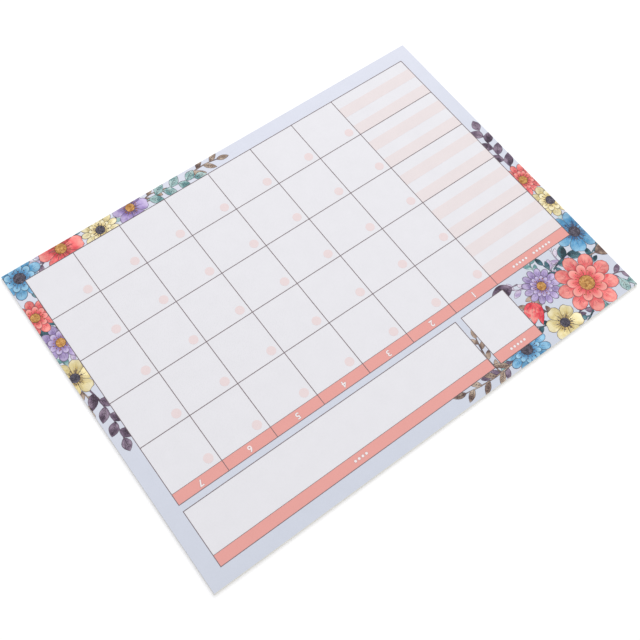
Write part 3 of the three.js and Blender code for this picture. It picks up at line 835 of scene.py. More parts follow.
def vein_line(tree, along, out, size):
    """How far a point is from its petal's middle vein, which ends half-way up the petal."""
    beside = add(tree, "ShaderNodeMath", {0: along, 1: 0.5}, operation="SUBTRACT").outputs[0]
    apart = add(tree, "ShaderNodeMath", {0: beside}, operation="ABSOLUTE").outputs[0]
    across = add(tree, "ShaderNodeMath", {0: apart, 1: out}, operation="MULTIPLY").outputs[0]
    ended = add(tree, "ShaderNodeMapRange", {"Value": out, "From Min": size * 0.5, "From Max": size * 0.62,
                                             "To Min": 0.0, "To Max": 3.0}, interpolation_type="SMOOTHSTEP")
    return add(tree, "ShaderNodeMath", {0: across, 1: ended.outputs[0]}, operation="ADD").outputs[0]


def inner_ring(tree, colour, place, kind, size, tones):
    """Lays a smaller ring of petals over the first. Returns the colour, what it covers, and its edge."""
    deep, main, light = tones
    turned = add(tree, "ShaderNodeVectorRotate", {"Vector": place, "Angle": math.pi / kind["petals"]},
                 rotation_type="Z_AXIS")
    ring = add(tree, "ShaderNodeGroup", {"Place": turned.outputs[0], "Petals": kind["petals"],
                                         "Radius": size * kind["inner"], "Waist": kind["waist"]},
               node_tree=PETAL_RING).outputs
    on_top = add(tree, "ShaderNodeMapRange", {"Value": ring["Rim"], "From Min": -0.05, "From Max": 0.05},
                 interpolation_type="SMOOTHSTEP").outputs[0]
    tone = washed(tree, light, main, ring["Rim"], 0.0, size * 0.3)
    tone = washed(tree, tone, deep, ring["Side"], 0.1, 0.9, 0.5, 0.0)
    under = add(tree, "ShaderNodeMapRange", {"Value": ring["Rim"], "From Min": -1.4, "From Max": 0.0,
                                             "To Min": 1.0, "To Max": 0.72}, interpolation_type="SMOOTHSTEP")
    colour = add(tree, "ShaderNodeVectorMath", {0: colour, 1: under.outputs[0]}, operation="MULTIPLY").outputs[0]
    colour = add(tree, "ShaderNodeMix", {0: on_top, 6: colour, 7: tone}, data_type="RGBA").outputs[2]
    edge = add(tree, "ShaderNodeMath", {0: ring["Rim"]}, operation="ABSOLUTE").outputs[0]
    return colour, on_top, edge


print("pen lines of", PEN, "mm")

# %% Painted petals
def petal_finish(name, hue, kind, radius, middle, degrees):
    """Watercolour print of petals: matt, translucent-looking washes of three tones under pen lines."""
    material, tree = new_finish(f"{name}_watercolour_print")
    deep, main, light = tones = [linear(tone) for tone in WASHES[hue]]
    place = centred_place(tree, middle, degrees)
    size = radius / MM
    ring = add(tree, "ShaderNodeGroup", {"Place": place, "Petals": kind["petals"], "Radius": size,
                                         "Waist": kind["waist"]}, node_tree=PETAL_RING)
    petal, along, side, rim, out = ring.outputs
    wander = wash_noise(tree, place, WASH_SIZE, 5.0, -0.2, 0.2)
    outwards = add(tree, "ShaderNodeMath", {0: out, 1: 1 / size, 2: wander}, operation="MULTIPLY_ADD").outputs[0]
    colour = washed(tree, deep, main, outwards, EYE_SHARE * 0.9, 0.55)
    colour = washed(tree, colour, light, outwards, 0.5, 1.0, 0.0, 0.8)
    colour = washed(tree, colour, deep, rim, 0.25, 1.1, 0.42, 0.0)
    turn = add(tree, "ShaderNodeMath", {0: petal, 1: along}, operation="ADD").outputs[0]
    drawn_out = add(tree, "ShaderNodeMath", {0: out, 1: BRUSH_STRETCH}, operation="MULTIPLY").outputs[0]
    brushed = add(tree, "ShaderNodeCombineXYZ", {"X": turn, "Y": drawn_out}).outputs[0]
    streaks = wash_noise(tree, brushed, 0.22, 3.0, -0.2, 0.75)
    colour = washed(tree, colour, light, streaks, 0.0, 0.8, 0.0, 0.45)
    number = add(tree, "ShaderNodeTexWhiteNoise", {"W": petal}, noise_dimensions="1D").outputs["Value"]
    own_tone = add(tree, "ShaderNodeMapRange", {"Value": number, "To Min": 0.86, "To Max": 1.1}).outputs[0]
    overlap = add(tree, "ShaderNodeMapRange", {"Value": along, "From Min": 0.0, "From Max": 0.3, "To Min": 0.8,
                                               "To Max": 1.0}, interpolation_type="SMOOTHSTEP").outputs[0]
    shade = add(tree, "ShaderNodeMath", {0: own_tone, 1: overlap}, operation="MULTIPLY").outputs[0]
    colour = add(tree, "ShaderNodeVectorMath", {0: colour, 1: shade}, operation="MULTIPLY").outputs[0]
    if kind["inner"]:
        colour, covered, edge = inner_ring(tree, colour, place, kind, size, tones)
        lines = [add(tree, "ShaderNodeMath", {0: side, 1: covered}, operation="ADD").outputs[0], edge]
    else:
        lines = [side, vein_line(tree, along, out, size)]
    wet = wash_noise(tree, place, WASH_SIZE, 6.0, 0.9, 1.14)
    colour = add(tree, "ShaderNodeVectorMath", {0: colour, 1: wet}, operation="MULTIPLY").outputs[0]
    painted_shader(tree, pen_over(tree, colour, lines), place)
    return material


for name, (kind, size, zone, share, degrees) in BLOOMS.items():
    hue = name.split("_")[0]
    finish = petal_finish(name, hue, KINDS[kind], BLOOM_RADIUS[size], spot(zone, share), degrees)
    dress(f"print_{name}_petals", finish)
print("painted", len(BLOOMS), "blooms")

# %% [markdown]
# ## Eyes, leaves and buds
# A flower's eye is a disc of tiny florets, so its finish is a field of small cells under a mottled dark wash.
# Leaves and the tulip have no middle to count from. Their wash runs from one tone to another in clouds about
# as large as a leaf, which gives neighbouring leaves different tones.

# %% Finishes of eyes, leaves and buds
# Dark, middle and light tone of each eye, and of each leaf or bud
EYE_TONES = {"dark_eye_ink": ("#23222C", "#54505E", "#8D8795"), "gold_eye_ink": ("#8C5426", "#D89A52", "#F3CF8C")}
LEAF_TONES = {
    "teal_ink": ("#2C444D", "#4C7380", "#7FA6AD"),
    "sage_ink": ("#6F9C9E", "#A3C4C4", "#CFE2E0"),
    "taupe_ink": ("#75605A", "#A89283", "#D3C0AE"),
    "plum_ink": ("#4C3F4F", "#77657A", "#A795A8"),
    "lilac_ink": ("#B7A5CB", "#D3C6DF", "#ECE4F1"),
    "coral_ink": ("#D93B4E", "#F4656B", "#FCAEA4"),
}
# In millimetres: the spacing of the florets, and the clouds of tone, about as large as a leaf
FLORET = 0.55
LEAF_CLOUD = 6.0


def eye_finish(slot):
    """Watercolour print of a flower's eye: pale florets, darker between them, mottled with a dark wash."""
    material, tree = new_finish(f"floret_{slot}")
    dark, main, light = [linear(tone) for tone in EYE_TONES[slot]]
    place = centred_place(tree, (0, 0, 0), 0)
    cells = add(tree, "ShaderNodeTexVoronoi", {"Vector": place, "Scale": 1 / FLORET}, voronoi_dimensions="2D")
    colour = washed(tree, light, main, cells.outputs["Distance"], 0.15, 0.5)
    mottle = wash_noise(tree, place, 1.6, 2.0, 0.0, 0.8)
    colour = add(tree, "ShaderNodeMix", {0: mottle, 6: colour, 7: dark}, data_type="RGBA").outputs[2]
    painted_shader(tree, colour, place)
    return material


def leaf_finish(slot):
    """Watercolour print of leaves and buds: one wash that drifts between three tones."""
    material, tree = new_finish(f"painted_leaf_{slot}")
    deep, main, light = [linear(tone) for tone in LEAF_TONES[slot]]
    place = centred_place(tree, (0, 0, 0), 0)
    drift = wash_noise(tree, place, LEAF_CLOUD, 1.0, -0.1, 1.1)
    wet = wash_noise(tree, place, WASH_SIZE / 3, 5.0, -0.3, 0.3)
    level = add(tree, "ShaderNodeMath", {0: drift, 1: wet}, operation="ADD").outputs[0]
    colour = washed(tree, deep, main, level, 0.0, 0.5)
    colour = washed(tree, colour, light, level, 0.5, 1.1, 0.0, 0.8)
    painted_shader(tree, colour, place)
    return material


MOTIF_SLOTS = {slot: eye_finish(slot) for slot in EYE_TONES}
MOTIF_SLOTS.update({slot: leaf_finish(slot) for slot in LEAF_TONES})
BLOOM_NODES = [f"print_{name}_petals" for name in BLOOMS]
MOTIFS = [node for node, slot in SLOT_OF.items() if slot in MOTIF_SLOTS or node in BLOOM_NODES]
for node in MOTIFS:
    if node not in BLOOM_NODES:
        dress(node, MOTIF_SLOTS[SLOT_OF[node]])
plain = len(SLOT_OF) - len(MOTIFS) - len(flat_nodes)
print("leaf and eye finishes:", len(MOTIF_SLOTS), "nodes left plain:", plain)

# %% [markdown]
# ## Threads of ink
# Whatever the pen draws is a thin thread of mesh along a line. It is pressed almost flat, as ink on paper is,
# so that only a hair stands proud. What runs over the cut edge of the page is trimmed off, as a guillotine does
# it, and the cut is closed.

# %% Helpers for threads of ink
TRIM_GAP = 0.02 * MM


def pressed(tree, geometry, level, width):
    """Flattens threads of ink onto the level that they lie on, so that only a hair stands proud."""
    where = add(tree, "GeometryNodeInputPosition").outputs[0]
    parts = add(tree, "ShaderNodeSeparateXYZ", {0: where}).outputs
    squash = add(tree, "ShaderNodeMath", {0: HAIR, 1: width}, operation="DIVIDE").outputs[0]
    above = add(tree, "ShaderNodeMath", {0: parts[2], 1: level}, operation="SUBTRACT").outputs[0]
    height = add(tree, "ShaderNodeMath", {0: above, 1: squash, 2: level}, operation="MULTIPLY_ADD").outputs[0]
    flat = add(tree, "ShaderNodeCombineXYZ", {"X": parts[0], "Y": parts[1], "Z": height})
    return add(tree, "GeometryNodeSetPosition", {"Geometry": geometry, "Position": flat.outputs[0]}).outputs[0]


def trimmed(mesh, zone):
    """Cuts a mesh to one part of the border and closes the cuts."""
    cut = bmesh.new()
    cut.from_mesh(mesh)
    left, foot, right, head = zone
    planes = [((left + TRIM_GAP, 0, 0), (-1, 0, 0)), ((right - TRIM_GAP, 0, 0), (1, 0, 0)),
              ((0, foot + TRIM_GAP, 0), (0, -1, 0)), ((0, head - TRIM_GAP, 0), (0, 1, 0))]
    for place, normal in planes:
        everything = cut.verts[:] + cut.edges[:] + cut.faces[:]
        done = bmesh.ops.bisect_plane(cut, geom=everything, plane_co=place, plane_no=normal, clear_outer=True)
        rim = [item for item in done["geom_cut"] if isinstance(item, bmesh.types.BMEdge)]
        bmesh.ops.holes_fill(cut, edges=rim)
    cut.to_mesh(mesh)
    cut.free()


def inked(name, tree, sizes, slot, mesh):
    """Runs a tree that draws ink, trims it at the page's edges and keeps it as a piece."""
    result = run_tree(tree, sizes, mesh)
    trimmed(result, SHEET)
    result.name = name
    return adopt(bpy.data.objects.new(name, result))


print("a line that is drawn over the print stands", round(HAIR / MM / 2, 4), "mm proud")

# %% [markdown]
# ## Pen outlines
# The pen line round every petal and leaf follows the edge of its field, so Geometry Nodes takes the edges of
# each field's upper face, leaves out those along the cut edge of the page, and runs a thin, slightly uneven
# thread of ink along the rest. A material can't draw this line, because flowers are cut to one another, and the
# formula of a ring of petals doesn't know those cuts.

# %% The tree of outlines
def outline_tree(sizes, material):
    """A thread of uneven width along the rim of each field's upper face."""
    tree, given = geometry_tree("pen_outline", sizes)
    normal = add(tree, "GeometryNodeInputNormal").outputs[0]
    up = add(tree, "ShaderNodeSeparateXYZ", {0: normal}).outputs[2]
    is_top = add(tree, "FunctionNodeCompare", {0: up, 1: 0.5}, operation="GREATER_THAN")
    top = add(tree, "GeometryNodeSeparateGeometry", {"Geometry": given["Geometry"],
                                                     "Selection": is_top.outputs[0]}, domain="FACE")
    faces = add(tree, "GeometryNodeInputMeshEdgeNeighbors").outputs[0]
    is_rim = add(tree, "FunctionNodeCompare", {2: faces, 3: 1}, data_type="INT", operation="EQUAL")
    where = add(tree, "GeometryNodeInputPosition").outputs[0]
    from_middle = add(tree, "ShaderNodeVectorMath", {0: where, 1: given["Middle"]}, operation="SUBTRACT")
    reach = add(tree, "ShaderNodeVectorMath", {0: from_middle.outputs[0]}, operation="ABSOLUTE")
    left = add(tree, "ShaderNodeVectorMath", {0: given["Inside"], 1: reach.outputs[0]}, operation="SUBTRACT")
    room = add(tree, "ShaderNodeSeparateXYZ", {0: left.outputs[0]}).outputs
    nearest = add(tree, "ShaderNodeMath", {0: room[0], 1: room[1]}, operation="MINIMUM")
    is_inside = add(tree, "FunctionNodeCompare", {0: nearest.outputs[0], 1: 0.0}, operation="GREATER_THAN")
    drawn = add(tree, "FunctionNodeBooleanMath", {0: is_rim.outputs[0], 1: is_inside.outputs[0]}, operation="AND")
    curve = add(tree, "GeometryNodeMeshToCurve", {"Mesh": top.outputs[0], "Selection": drawn.outputs[0]})
    uneven = add(tree, "ShaderNodeTexNoise", {"Scale": 1 / (2.5 * MM), "Detail": 1.0})
    radius = add(tree, "ShaderNodeMapRange", {"Value": uneven.outputs["Fac"], "From Min": 0.3, "From Max": 0.7,
                                              "To Min": 0.45, "To Max": 1.3})
    varied = add(tree, "GeometryNodeSetCurveRadius", {"Curve": curve.outputs[0], "Radius": radius.outputs[0]})
    half_width = add(tree, "ShaderNodeMath", {0: given["Width"], 1: 0.5}, operation="MULTIPLY")
    section = add(tree, "GeometryNodeCurvePrimitiveCircle", {"Resolution": given["Sides"],
                                                             "Radius": half_width.outputs[0]})
    thread = add(tree, "GeometryNodeCurveToMesh", {"Curve": varied.outputs[0],
                                                   "Profile Curve": section.outputs[0],
                                                   "Scale": radius.outputs[0], "Fill Caps": True})
    end_tree(tree, pressed(tree, thread.outputs[0], given["Level"], given["Width"]), material)
    return tree


print("the tree of outlines is ready")

# %% Pen outlines
OUTLINE_WIDTH = 0.24 * MM
OUTLINE_SIDES = 6
# Lines nearer than this to the page's edge are the cut, and aren't drawn
TRIM = 0.15 * MM
# Waterproof drawing ink: matt, dark and uneven, and browner than black
pen_material = sheet_material("drawing_pen_ink", "#5A4D55", roughness=0.7, amount=0.25)
outline_sizes = {
    "Width": OUTLINE_WIDTH,
    "Sides": OUTLINE_SIDES,
    "Level": SECOND_INK,
    "Middle": Vector(((SHEET[0] + SHEET[2]) / 2, (SHEET[1] + SHEET[3]) / 2, SECOND_INK)),
    "Inside": Vector(((SHEET[2] - SHEET[0]) / 2 - TRIM, (SHEET[3] - SHEET[1]) / 2 - TRIM, 1)),
}
outlines = outline_tree(outline_sizes, pen_material)
# A copy of each field, because its triangles are loose and have to be merged before their rim can be found
fields = [joined("field", [NODES[node].data], merge=0.001 * MM) for node in MOTIFS]
inked("pen_outlines", outlines, outline_sizes, "dark_eye_ink", joined("motif_fields", fields))

# %% [markdown]
# ## Fillers behind the flowers
# Small twigs look out from behind the flowers, so that the border between them is not bare. Each twig starts
# under its flower and is trimmed to its part of the border, as print is at a page's edge. Its ink is a hair
# lower than the flowers' ink, so whatever lies in front of it hides it.

# %% Where the twigs grow
FILLER_LEAVES = 4
FILLER_TOP = SECOND_INK - 2 * HAIR
FILLER_LEAF = Vector((6.2 * MM, 1.5 * MM, 0))
FILLER_SPREAD = math.radians(38)
FILLER_STEM = 0.3 * MM
FILLER_BEND = 2.2 * MM
FILLER_STEPS = 8
FILLER_PEN = 0.15 * MM
FILLER_SEED = 5
# Each twig is this much lower than the one before it, so that no two share one level where they cross
TWIG_STEP = 0.001 * MM
BOX_GAP = (MONTH[2], MONTH[1], MEMO[0], SHEET[3])
# What a twig grows from: its middle, its radius and its part of the border
ROOTS = {name: (spot(zone, share), BLOOM_RADIUS[size], zone)
         for name, (_, size, zone, share, _) in BLOOMS.items()}
ROOTS["box_gap"] = (spot(BOX_GAP, (0.55, 0.98)), 0.0, BOX_GAP)
# Root, direction in degrees, and length past the root's rim in mm
TWIGS = {
    "teal_ink": [("coral_daisy", 300, 7), ("coral_daisy", 214, 6), ("yellow_cosmos", 330, 9),
                 ("blue_cosmos", 62, 8), ("blue_daisy", 102, 6), ("coral_cosmos", 200, 5),
                 ("lilac_daisy", 250, 5)],
    "sage_ink": [("coral_daisy", 88, 5), ("lilac_aster", 250, 6), ("lilac_aster", 150, 7), ("yellow_daisy", 80, 5),
                 ("yellow_aster", 184, 6), ("yellow_button", 268, 6), ("blue_aster", 350, 9)],
    "lilac_ink": [("lilac_aster", 196, 9), ("coral_daisy", 276, 8), ("lilac_aster", 330, 8),
                  ("blue_cosmos", 20, 9), ("coral_cosmos", 352, 5), ("lilac_daisy", 100, 5)],
    "plum_ink": [("yellow_cosmos", 176, 6), ("coral_daisy", 160, 7), ("coral_button", 92, 5),
                 ("coral_cosmos", 8, 7), ("blue_aster", 2, 12)],
    "taupe_ink": [("yellow_cosmos", 285, 7), ("lilac_aster", 15, 8), ("blue_cosmos", 100, 7),
                  ("coral_aster", 100, 5), ("lilac_cosmos", 178, 9), ("yellow_button", 84, 10),
                  ("box_gap", 268, 26)],
}


def stem_line(root, degrees, past):
    """Points of one bent stem, from under its root's rim outwards."""
    middle, radius, _ = ROOTS[root]
    heading = math.radians(degrees)
    onward = Vector((math.cos(heading), math.sin(heading), 0))
    aside = Vector((-onward.y, onward.x, 0))
    start = middle + onward * 0.75 * radius
    length = 0.25 * radius + past * MM
    bend = min(FILLER_BEND, 0.12 * length)
    shares = [step / FILLER_STEPS for step in range(FILLER_STEPS + 1)]
    return [start + onward * length * s + aside * bend * math.sin(math.pi * s) for s in shares]


def line_mesh(name, lines):
    """One mesh of loose edges that follow each line of points."""
    points = [point for line in lines for point in line]
    edges = []
    start = 0
    for line in lines:
        edges += [(start + step, start + step + 1) for step in range(len(line) - 1)]
        start += len(line)
    mesh = bpy.data.meshes.new(name)
    mesh.from_pydata(points, edges, [])
    return mesh


print("twigs:", sum(len(twigs) for twigs in TWIGS.values()))

# %% [markdown]
# ## A twig from a line
# A twig is a stem with leaves on alternate sides and one at its tip. The tree turns a line of points into a
# curve, runs a round section along it for the stem, and sets a leaf on evenly spaced points. The curve's
# tangent turns each leaf, and whether its number is odd or even puts it to the left or the right.

# %% The tree of a twig
def almond(tree, given):
    """A flat leaf along +X, as a squeezed disc."""
    disc = add(tree, "GeometryNodeMeshCylinder", {"Vertices": 16, "Radius": 1.0, "Depth": given["Thickness"]})
    half = add(tree, "ShaderNodeSeparateXYZ", {0: given["Leaf"]}).outputs
    at = add(tree, "ShaderNodeSeparateXYZ", {0: add(tree, "GeometryNodeInputPosition").outputs[0]}).outputs
    ahead = add(tree, "ShaderNodeMath", {0: at[0], 1: 1.0}, operation="ADD").outputs[0]
    long = add(tree, "ShaderNodeMath", {0: half[0], 1: 0.5}, operation="MULTIPLY").outputs[0]
    x = add(tree, "ShaderNodeMath", {0: ahead, 1: long}, operation="MULTIPLY").outputs[0]
    reach = add(tree, "ShaderNodeMath", {0: at[1]}, operation="ABSOLUTE").outputs[0]
    narrow = add(tree, "ShaderNodeMath", {0: reach, 1: 0.7}, operation="POWER").outputs[0]
    wide = add(tree, "ShaderNodeMath", {0: at[1], 1: narrow}, operation="MULTIPLY").outputs[0]
    y = add(tree, "ShaderNodeMath", {0: wide, 1: half[1]}, operation="MULTIPLY").outputs[0]
    shaped = add(tree, "ShaderNodeCombineXYZ", {"X": x, "Y": y, "Z": at[2]}).outputs[0]
    return add(tree, "GeometryNodeSetPosition", {"Geometry": disc.outputs[0], "Position": shaped}).outputs[0]


def twig_tree(sizes, material):
    """A stem along a line, with leaves on alternate sides and one at its end."""
    tree, given = geometry_tree("filler_twig", sizes)
    curve = add(tree, "GeometryNodeMeshToCurve", {"Mesh": given["Geometry"]}).outputs[0]
    points = add(tree, "GeometryNodeCurveToPoints", {"Curve": curve, "Count": given["Leaves"]})
    ahead = add(tree, "ShaderNodeSeparateXYZ", {0: points.outputs["Tangent"]}).outputs
    heading = add(tree, "ShaderNodeMath", {0: ahead[1], 1: ahead[0]}, operation="ARCTAN2").outputs[0]
    index = add(tree, "GeometryNodeInputIndex").outputs[0]
    order = add(tree, "ShaderNodeMath", {0: index, 1: given["Leaves"]}, operation="MODULO").outputs[0]
    last = add(tree, "ShaderNodeMath", {0: given["Leaves"], 1: 1.0}, operation="SUBTRACT").outputs[0]
    not_last = add(tree, "ShaderNodeMath", {0: order, 1: last}, operation="LESS_THAN").outputs[0]
    parity = add(tree, "ShaderNodeMath", {0: order, 1: 2.0}, operation="MODULO").outputs[0]
    side = add(tree, "ShaderNodeMath", {0: parity, 1: 2.0, 2: -1.0}, operation="MULTIPLY_ADD").outputs[0]
    turned = add(tree, "ShaderNodeMath", {0: side, 1: given["Spread"]}, operation="MULTIPLY").outputs[0]
    spread = add(tree, "ShaderNodeMath", {0: turned, 1: not_last}, operation="MULTIPLY").outputs[0]
    angle = add(tree, "ShaderNodeMath", {0: heading, 1: spread}, operation="ADD").outputs[0]
    rotation = add(tree, "ShaderNodeCombineXYZ", {"Z": angle}).outputs[0]
    size = add(tree, "FunctionNodeRandomValue", {2: 0.7, 3: 1.05, "Seed": FILLER_SEED},
               data_type="FLOAT").outputs[1]
    leaf = almond(tree, given)
    leaves = add(tree, "GeometryNodeInstanceOnPoints", {"Points": points.outputs[0], "Instance": leaf,
                                                        "Rotation": rotation, "Scale": size}).outputs[0]
    section = add(tree, "GeometryNodeCurvePrimitiveCircle", {"Resolution": 6, "Radius": given["Stem"]})
    stems = add(tree, "GeometryNodeCurveToMesh", {"Curve": curve, "Profile Curve": section.outputs[0],
                                                  "Fill Caps": True}).outputs[0]
    stem_width = add(tree, "ShaderNodeMath", {0: given["Stem"], 1: 2.0}, operation="MULTIPLY").outputs[0]
    low = pressed(tree, stems, given["Level"], stem_width)
    both = add(tree, "GeometryNodeJoinGeometry")
    tree.links.new(leaves, both.inputs[0])
    tree.links.new(low, both.inputs[0])
    end_tree(tree, both.outputs[0], material)
    return tree


print("the tree of a twig is ready")

# %% [markdown]
# ## Growing the twigs
# Each twig is grown and trimmed by itself, because it belongs to one part of the border and lies at a level of
# its own. Those in one ink then become one piece, and one run of the outline tree draws the pen line round all.

# %% Fillers
twig_sizes = {"Leaves": FILLER_LEAVES, "Leaf": FILLER_LEAF, "Spread": FILLER_SPREAD, "Stem": FILLER_STEM,
              "Thickness": FILLER_TOP - FIRST_INK, "Level": FILLER_TOP}
all_twigs = []
for slot, twigs in TWIGS.items():
    tree = twig_tree(twig_sizes, MOTIF_SLOTS[slot])
    grown_twigs = []
    for root, degrees, past in twigs:
        top = FILLER_TOP - len(all_twigs + grown_twigs) * TWIG_STEP
        twig_sizes["Thickness"] = top - FIRST_INK
        twig_sizes["Level"] = (top + FIRST_INK) / 2
        twig_sizes["Leaves"] = max(FILLER_LEAVES, round(past / 3))
        line = [Vector((p.x, p.y, twig_sizes["Level"])) for p in stem_line(root, degrees, past)]
        twig = run_tree(tree, twig_sizes, line_mesh("stem", [line]))
        trimmed(twig, ROOTS[root][2])
        grown_twigs.append(twig)
    merged(f"filler_{slot.removesuffix('_ink')}_twigs", grown_twigs, MOTIF_SLOTS[slot])
    all_twigs += grown_twigs
thin_outline = {**outline_sizes, "Level": FILLER_TOP, "Width": FILLER_PEN}
inked("filler_outlines", outlines, thin_outline, "dark_eye_ink", joined("filler_fields", all_twigs))

# %% [markdown]
# ## Pen strokes inside the motifs
# A leaf has a rib and side veins, a petal a few veins from its root, and a flower's eye a ring of stamens.
# Each is a short line of points, kept only where it lies on its own field of ink. One tree then turns all the
# lines into threads of ink that thin out towards their ends.

# %% Helpers for strokes
STROKE_STEPS = 6
rng = random.Random(7)


def field_of(node):
    """The surface of one field of ink, for finding out what lies on it."""
    mesh = NODES[node].data
    return BVHTree.FromPolygons([v.co for v in mesh.vertices], [p.vertices for p in mesh.polygons])


def runs_on(field, line):
    """The stretches of a line of points that lie on a field."""
    runs = [[]]
    for point in line:
        hit = field.ray_cast(Vector((point.x, point.y, SECOND_INK + MM)), Vector((0, 0, -1)), 1.001 * MM)[0]
        if hit is not None:
            runs[-1].append(Vector((point.x, point.y, SECOND_INK)))
        elif runs[-1]:
            runs.append([])
    return [run for run in runs if len(run) > 1]


def bowed(start, end, bow):
    """A line of points from start to end, bowed sideways by a share of its length."""
    ahead = end - start
    aside = Vector((-ahead.y, ahead.x, 0)) * bow
    shares = [step / STROKE_STEPS for step in range(STROKE_STEPS + 1)]
    return [start + ahead * s + aside * math.sin(math.pi * s) for s in shares]


print("a stroke has", STROKE_STEPS + 1, "points")

# %% [markdown]
# ## Ribs and veins of leaves
# An illustrator draws a leaf's rib first, and then its side veins in pairs that lean towards the tip. The frame
# doesn't say where the leaves of a sprig are, so the few sizes that shape a sprig give their places again: the
# bend of its stem, the number of its leaves and how far they stand off.

# %% Ribs and veins of leaves
# Length of the stem, its bend, number of leaves, and length and width of a leaf in mm
SPRIG_SHAPES = {"long": (34, 3, 7, 9.5, 5.2), "short": (22, 3, 5, 9.5, 5.2), "long_willow": (34, 3, 7, 9.5, 3.2),
                "short_willow": (22, 3, 5, 9.5, 3.2), "large_leaf": (4, 0, 1, 17, 8)}
# Shape, part of the border, share of the way across and up, and turn in degrees
SPRIGS = {
    "teal_sprig": ("short", CORNER, (0.5, 0.25), 186),
    "taupe_leaf": ("large_leaf", CORNER, (0.14, 0.36), 172),
    "plum_leaf": ("large_leaf", CORNER, (0.86, 0.14), -8),
    "sage_sprig": ("short", CORNER, (0.13, 0.74), 118),
    "taupe_sprig": ("long_willow", HEAD_MARGIN, (0.1, 0.35), -2),
    "plum_sprig": ("long", LEFT_MARGIN, (0.55, 0.69), -92),
    "sage_tendril": ("long", FOOT_MARGIN, (0.69, 0.5), 176),
    "taupe_tendril": ("short_willow", FOOT_MARGIN, (0.585, 0.5), 182),
    "plum_tendril": ("long", RIGHT_MARGIN, (0.5, 0.51), 92),
    "teal_tendril": ("short", RIGHT_MARGIN, (0.55, 0.105), 88),
}
# In degrees: how far leaves stand off the stem, and veins off the rib. The rest are shares of a leaf's length
LEAF_SPREAD = 42
VEIN_ANGLE = 36
RIB_SHARE = 0.88
VEIN_PLACES = (0.2, 0.38, 0.56, 0.72)


def leaf_strokes(name):
    """The rib and the side veins of each leaf of a sprig."""
    kind, zone, share, degrees = SPRIGS[name]
    length, bend, leaves, leaf_length, leaf_width = SPRIG_SHAPES[kind]
    root = spot(zone, share)
    lines = []
    for index in range(leaves):
        s = (index + 1) / leaves
        joint = Vector((length * s, 2 * s * (1 - s) * bend, 0)) * MM
        tangent = math.atan2(2 * (1 - 2 * s) * bend, length)
        spread = 0 if index == leaves - 1 else math.radians(LEAF_SPREAD if index % 2 else -LEAF_SPREAD)
        reach = leaf_length * (1 - s / 4)
        place = Matrix.Translation(root) @ Matrix.Rotation(math.radians(degrees), 4, "Z")
        place = place @ Matrix.Translation(joint) @ Matrix.Rotation(tangent + spread, 4, "Z")
        lines.append([place @ p for p in bowed(Vector(), Vector((reach * RIB_SHARE * MM, 0, 0)), 0.03)])
        for order, along in enumerate(VEIN_PLACES):
            for side in (-1, 1):
                start = along * RIB_SHARE + rng.uniform(-0.03, 0.03)
                half_width = 2 * start * (1 - start) * leaf_width * 0.8
                angle = math.radians(VEIN_ANGLE + rng.uniform(-5, 5))
                tip = Vector((math.cos(angle), side * math.sin(angle), 0)) * half_width / math.sin(angle) * 0.85
                begin = Vector((start * reach, 0, 0))
                lines.append([place @ (p * MM) for p in bowed(begin, begin + tip, 0.1 * side)])
    field = field_of(f"print_{name}")
    return [run for line in lines for run in runs_on(field, line)]


leaf_lines = [line for name in SPRIGS for line in leaf_strokes(name)]
print("strokes in leaves:", len(leaf_lines))

# %% [markdown]
# ## Veins of petals and of the bud
# A petal's veins start at its root and spread a little as they run out, so each is a line between two turns
# inside the same petal. Where a flower has an inner ring, both rings get their veins. The tulip is seen from
# the side, so it gets the seams between its petals, and two veins on each half.

# %% Veins of petals and of the bud
BUD_RADIUS = 6.5 * MM
BUD_PLACE = spot(CORNER, (0.93, 0.55))
BUD_TURN = math.radians(320)


def petal_strokes(name):
    """A few veins on each petal, from its root outwards."""
    kind, size, zone, share, degrees = BLOOMS[name]
    shape = KINDS[kind]
    radius = BLOOM_RADIUS[size]
    middle = spot(zone, share)
    inner = shape["inner"]
    rings = [(0, inner + 0.03, 0.88), (0.5, EYE_SHARE * 1.05, inner * 0.86)] if inner else [(0, 0.27, 0.78)]
    spreads = (-0.2, 0.0, 0.2) if shape["petals"] > 6 else (-0.27, -0.14, 0.0, 0.14, 0.27)
    field = field_of(f"print_{name}_petals")
    lines = []
    for offset, first, last in rings:
        for petal in range(shape["petals"]):
            for spread in spreads:
                root_turn = petal + 0.5 + offset + spread * 0.6 + rng.uniform(-0.03, 0.03)
                tip_turn = petal + 0.5 + offset + spread * 1.15 + rng.uniform(-0.04, 0.04)
                reach = first + (last - first) * rng.uniform(0.45, 1.0) * (1 - abs(spread))
                ends = []
                for turn, out in ((root_turn, first), (tip_turn, reach)):
                    angle = 2 * math.pi * turn / shape["petals"] + math.radians(degrees)
                    ends.append(middle + Vector((math.cos(angle), math.sin(angle), 0)) * out * radius)
                lines += runs_on(field, bowed(ends[0], ends[1], 0.04 * rng.choice((-1, 1))))
    return lines


def bud_strokes():
    """The seams between the tulip's petals, and a few veins up its middle."""
    place = Matrix.Translation(BUD_PLACE) @ Matrix.Rotation(BUD_TURN, 4, "Z")
    field = field_of("print_coral_tulip_petals")
    # Start, end and bow of a seam and two veins, as shares of the bud's radius
    marks = (((0.05, -0.95), (0.34, 0.42), -0.22), ((0.45, -0.5), (0.62, 0.5), -0.1),
             ((0.08, -0.6), (0.1, 0.35), -0.06))
    lines = []
    for side in (-1, 1):
        for start, end, bow in marks:
            ends = [Vector((x * side, y, 0)) * BUD_RADIUS for x, y in (start, end)]
            lines.append(bowed(*ends, bow * side))
    return [run for line in lines for run in runs_on(field, [place @ point for point in line])]


petal_lines = [line for name in BLOOMS for line in petal_strokes(name)] + bud_strokes()
print("strokes in petals:", len(petal_lines))

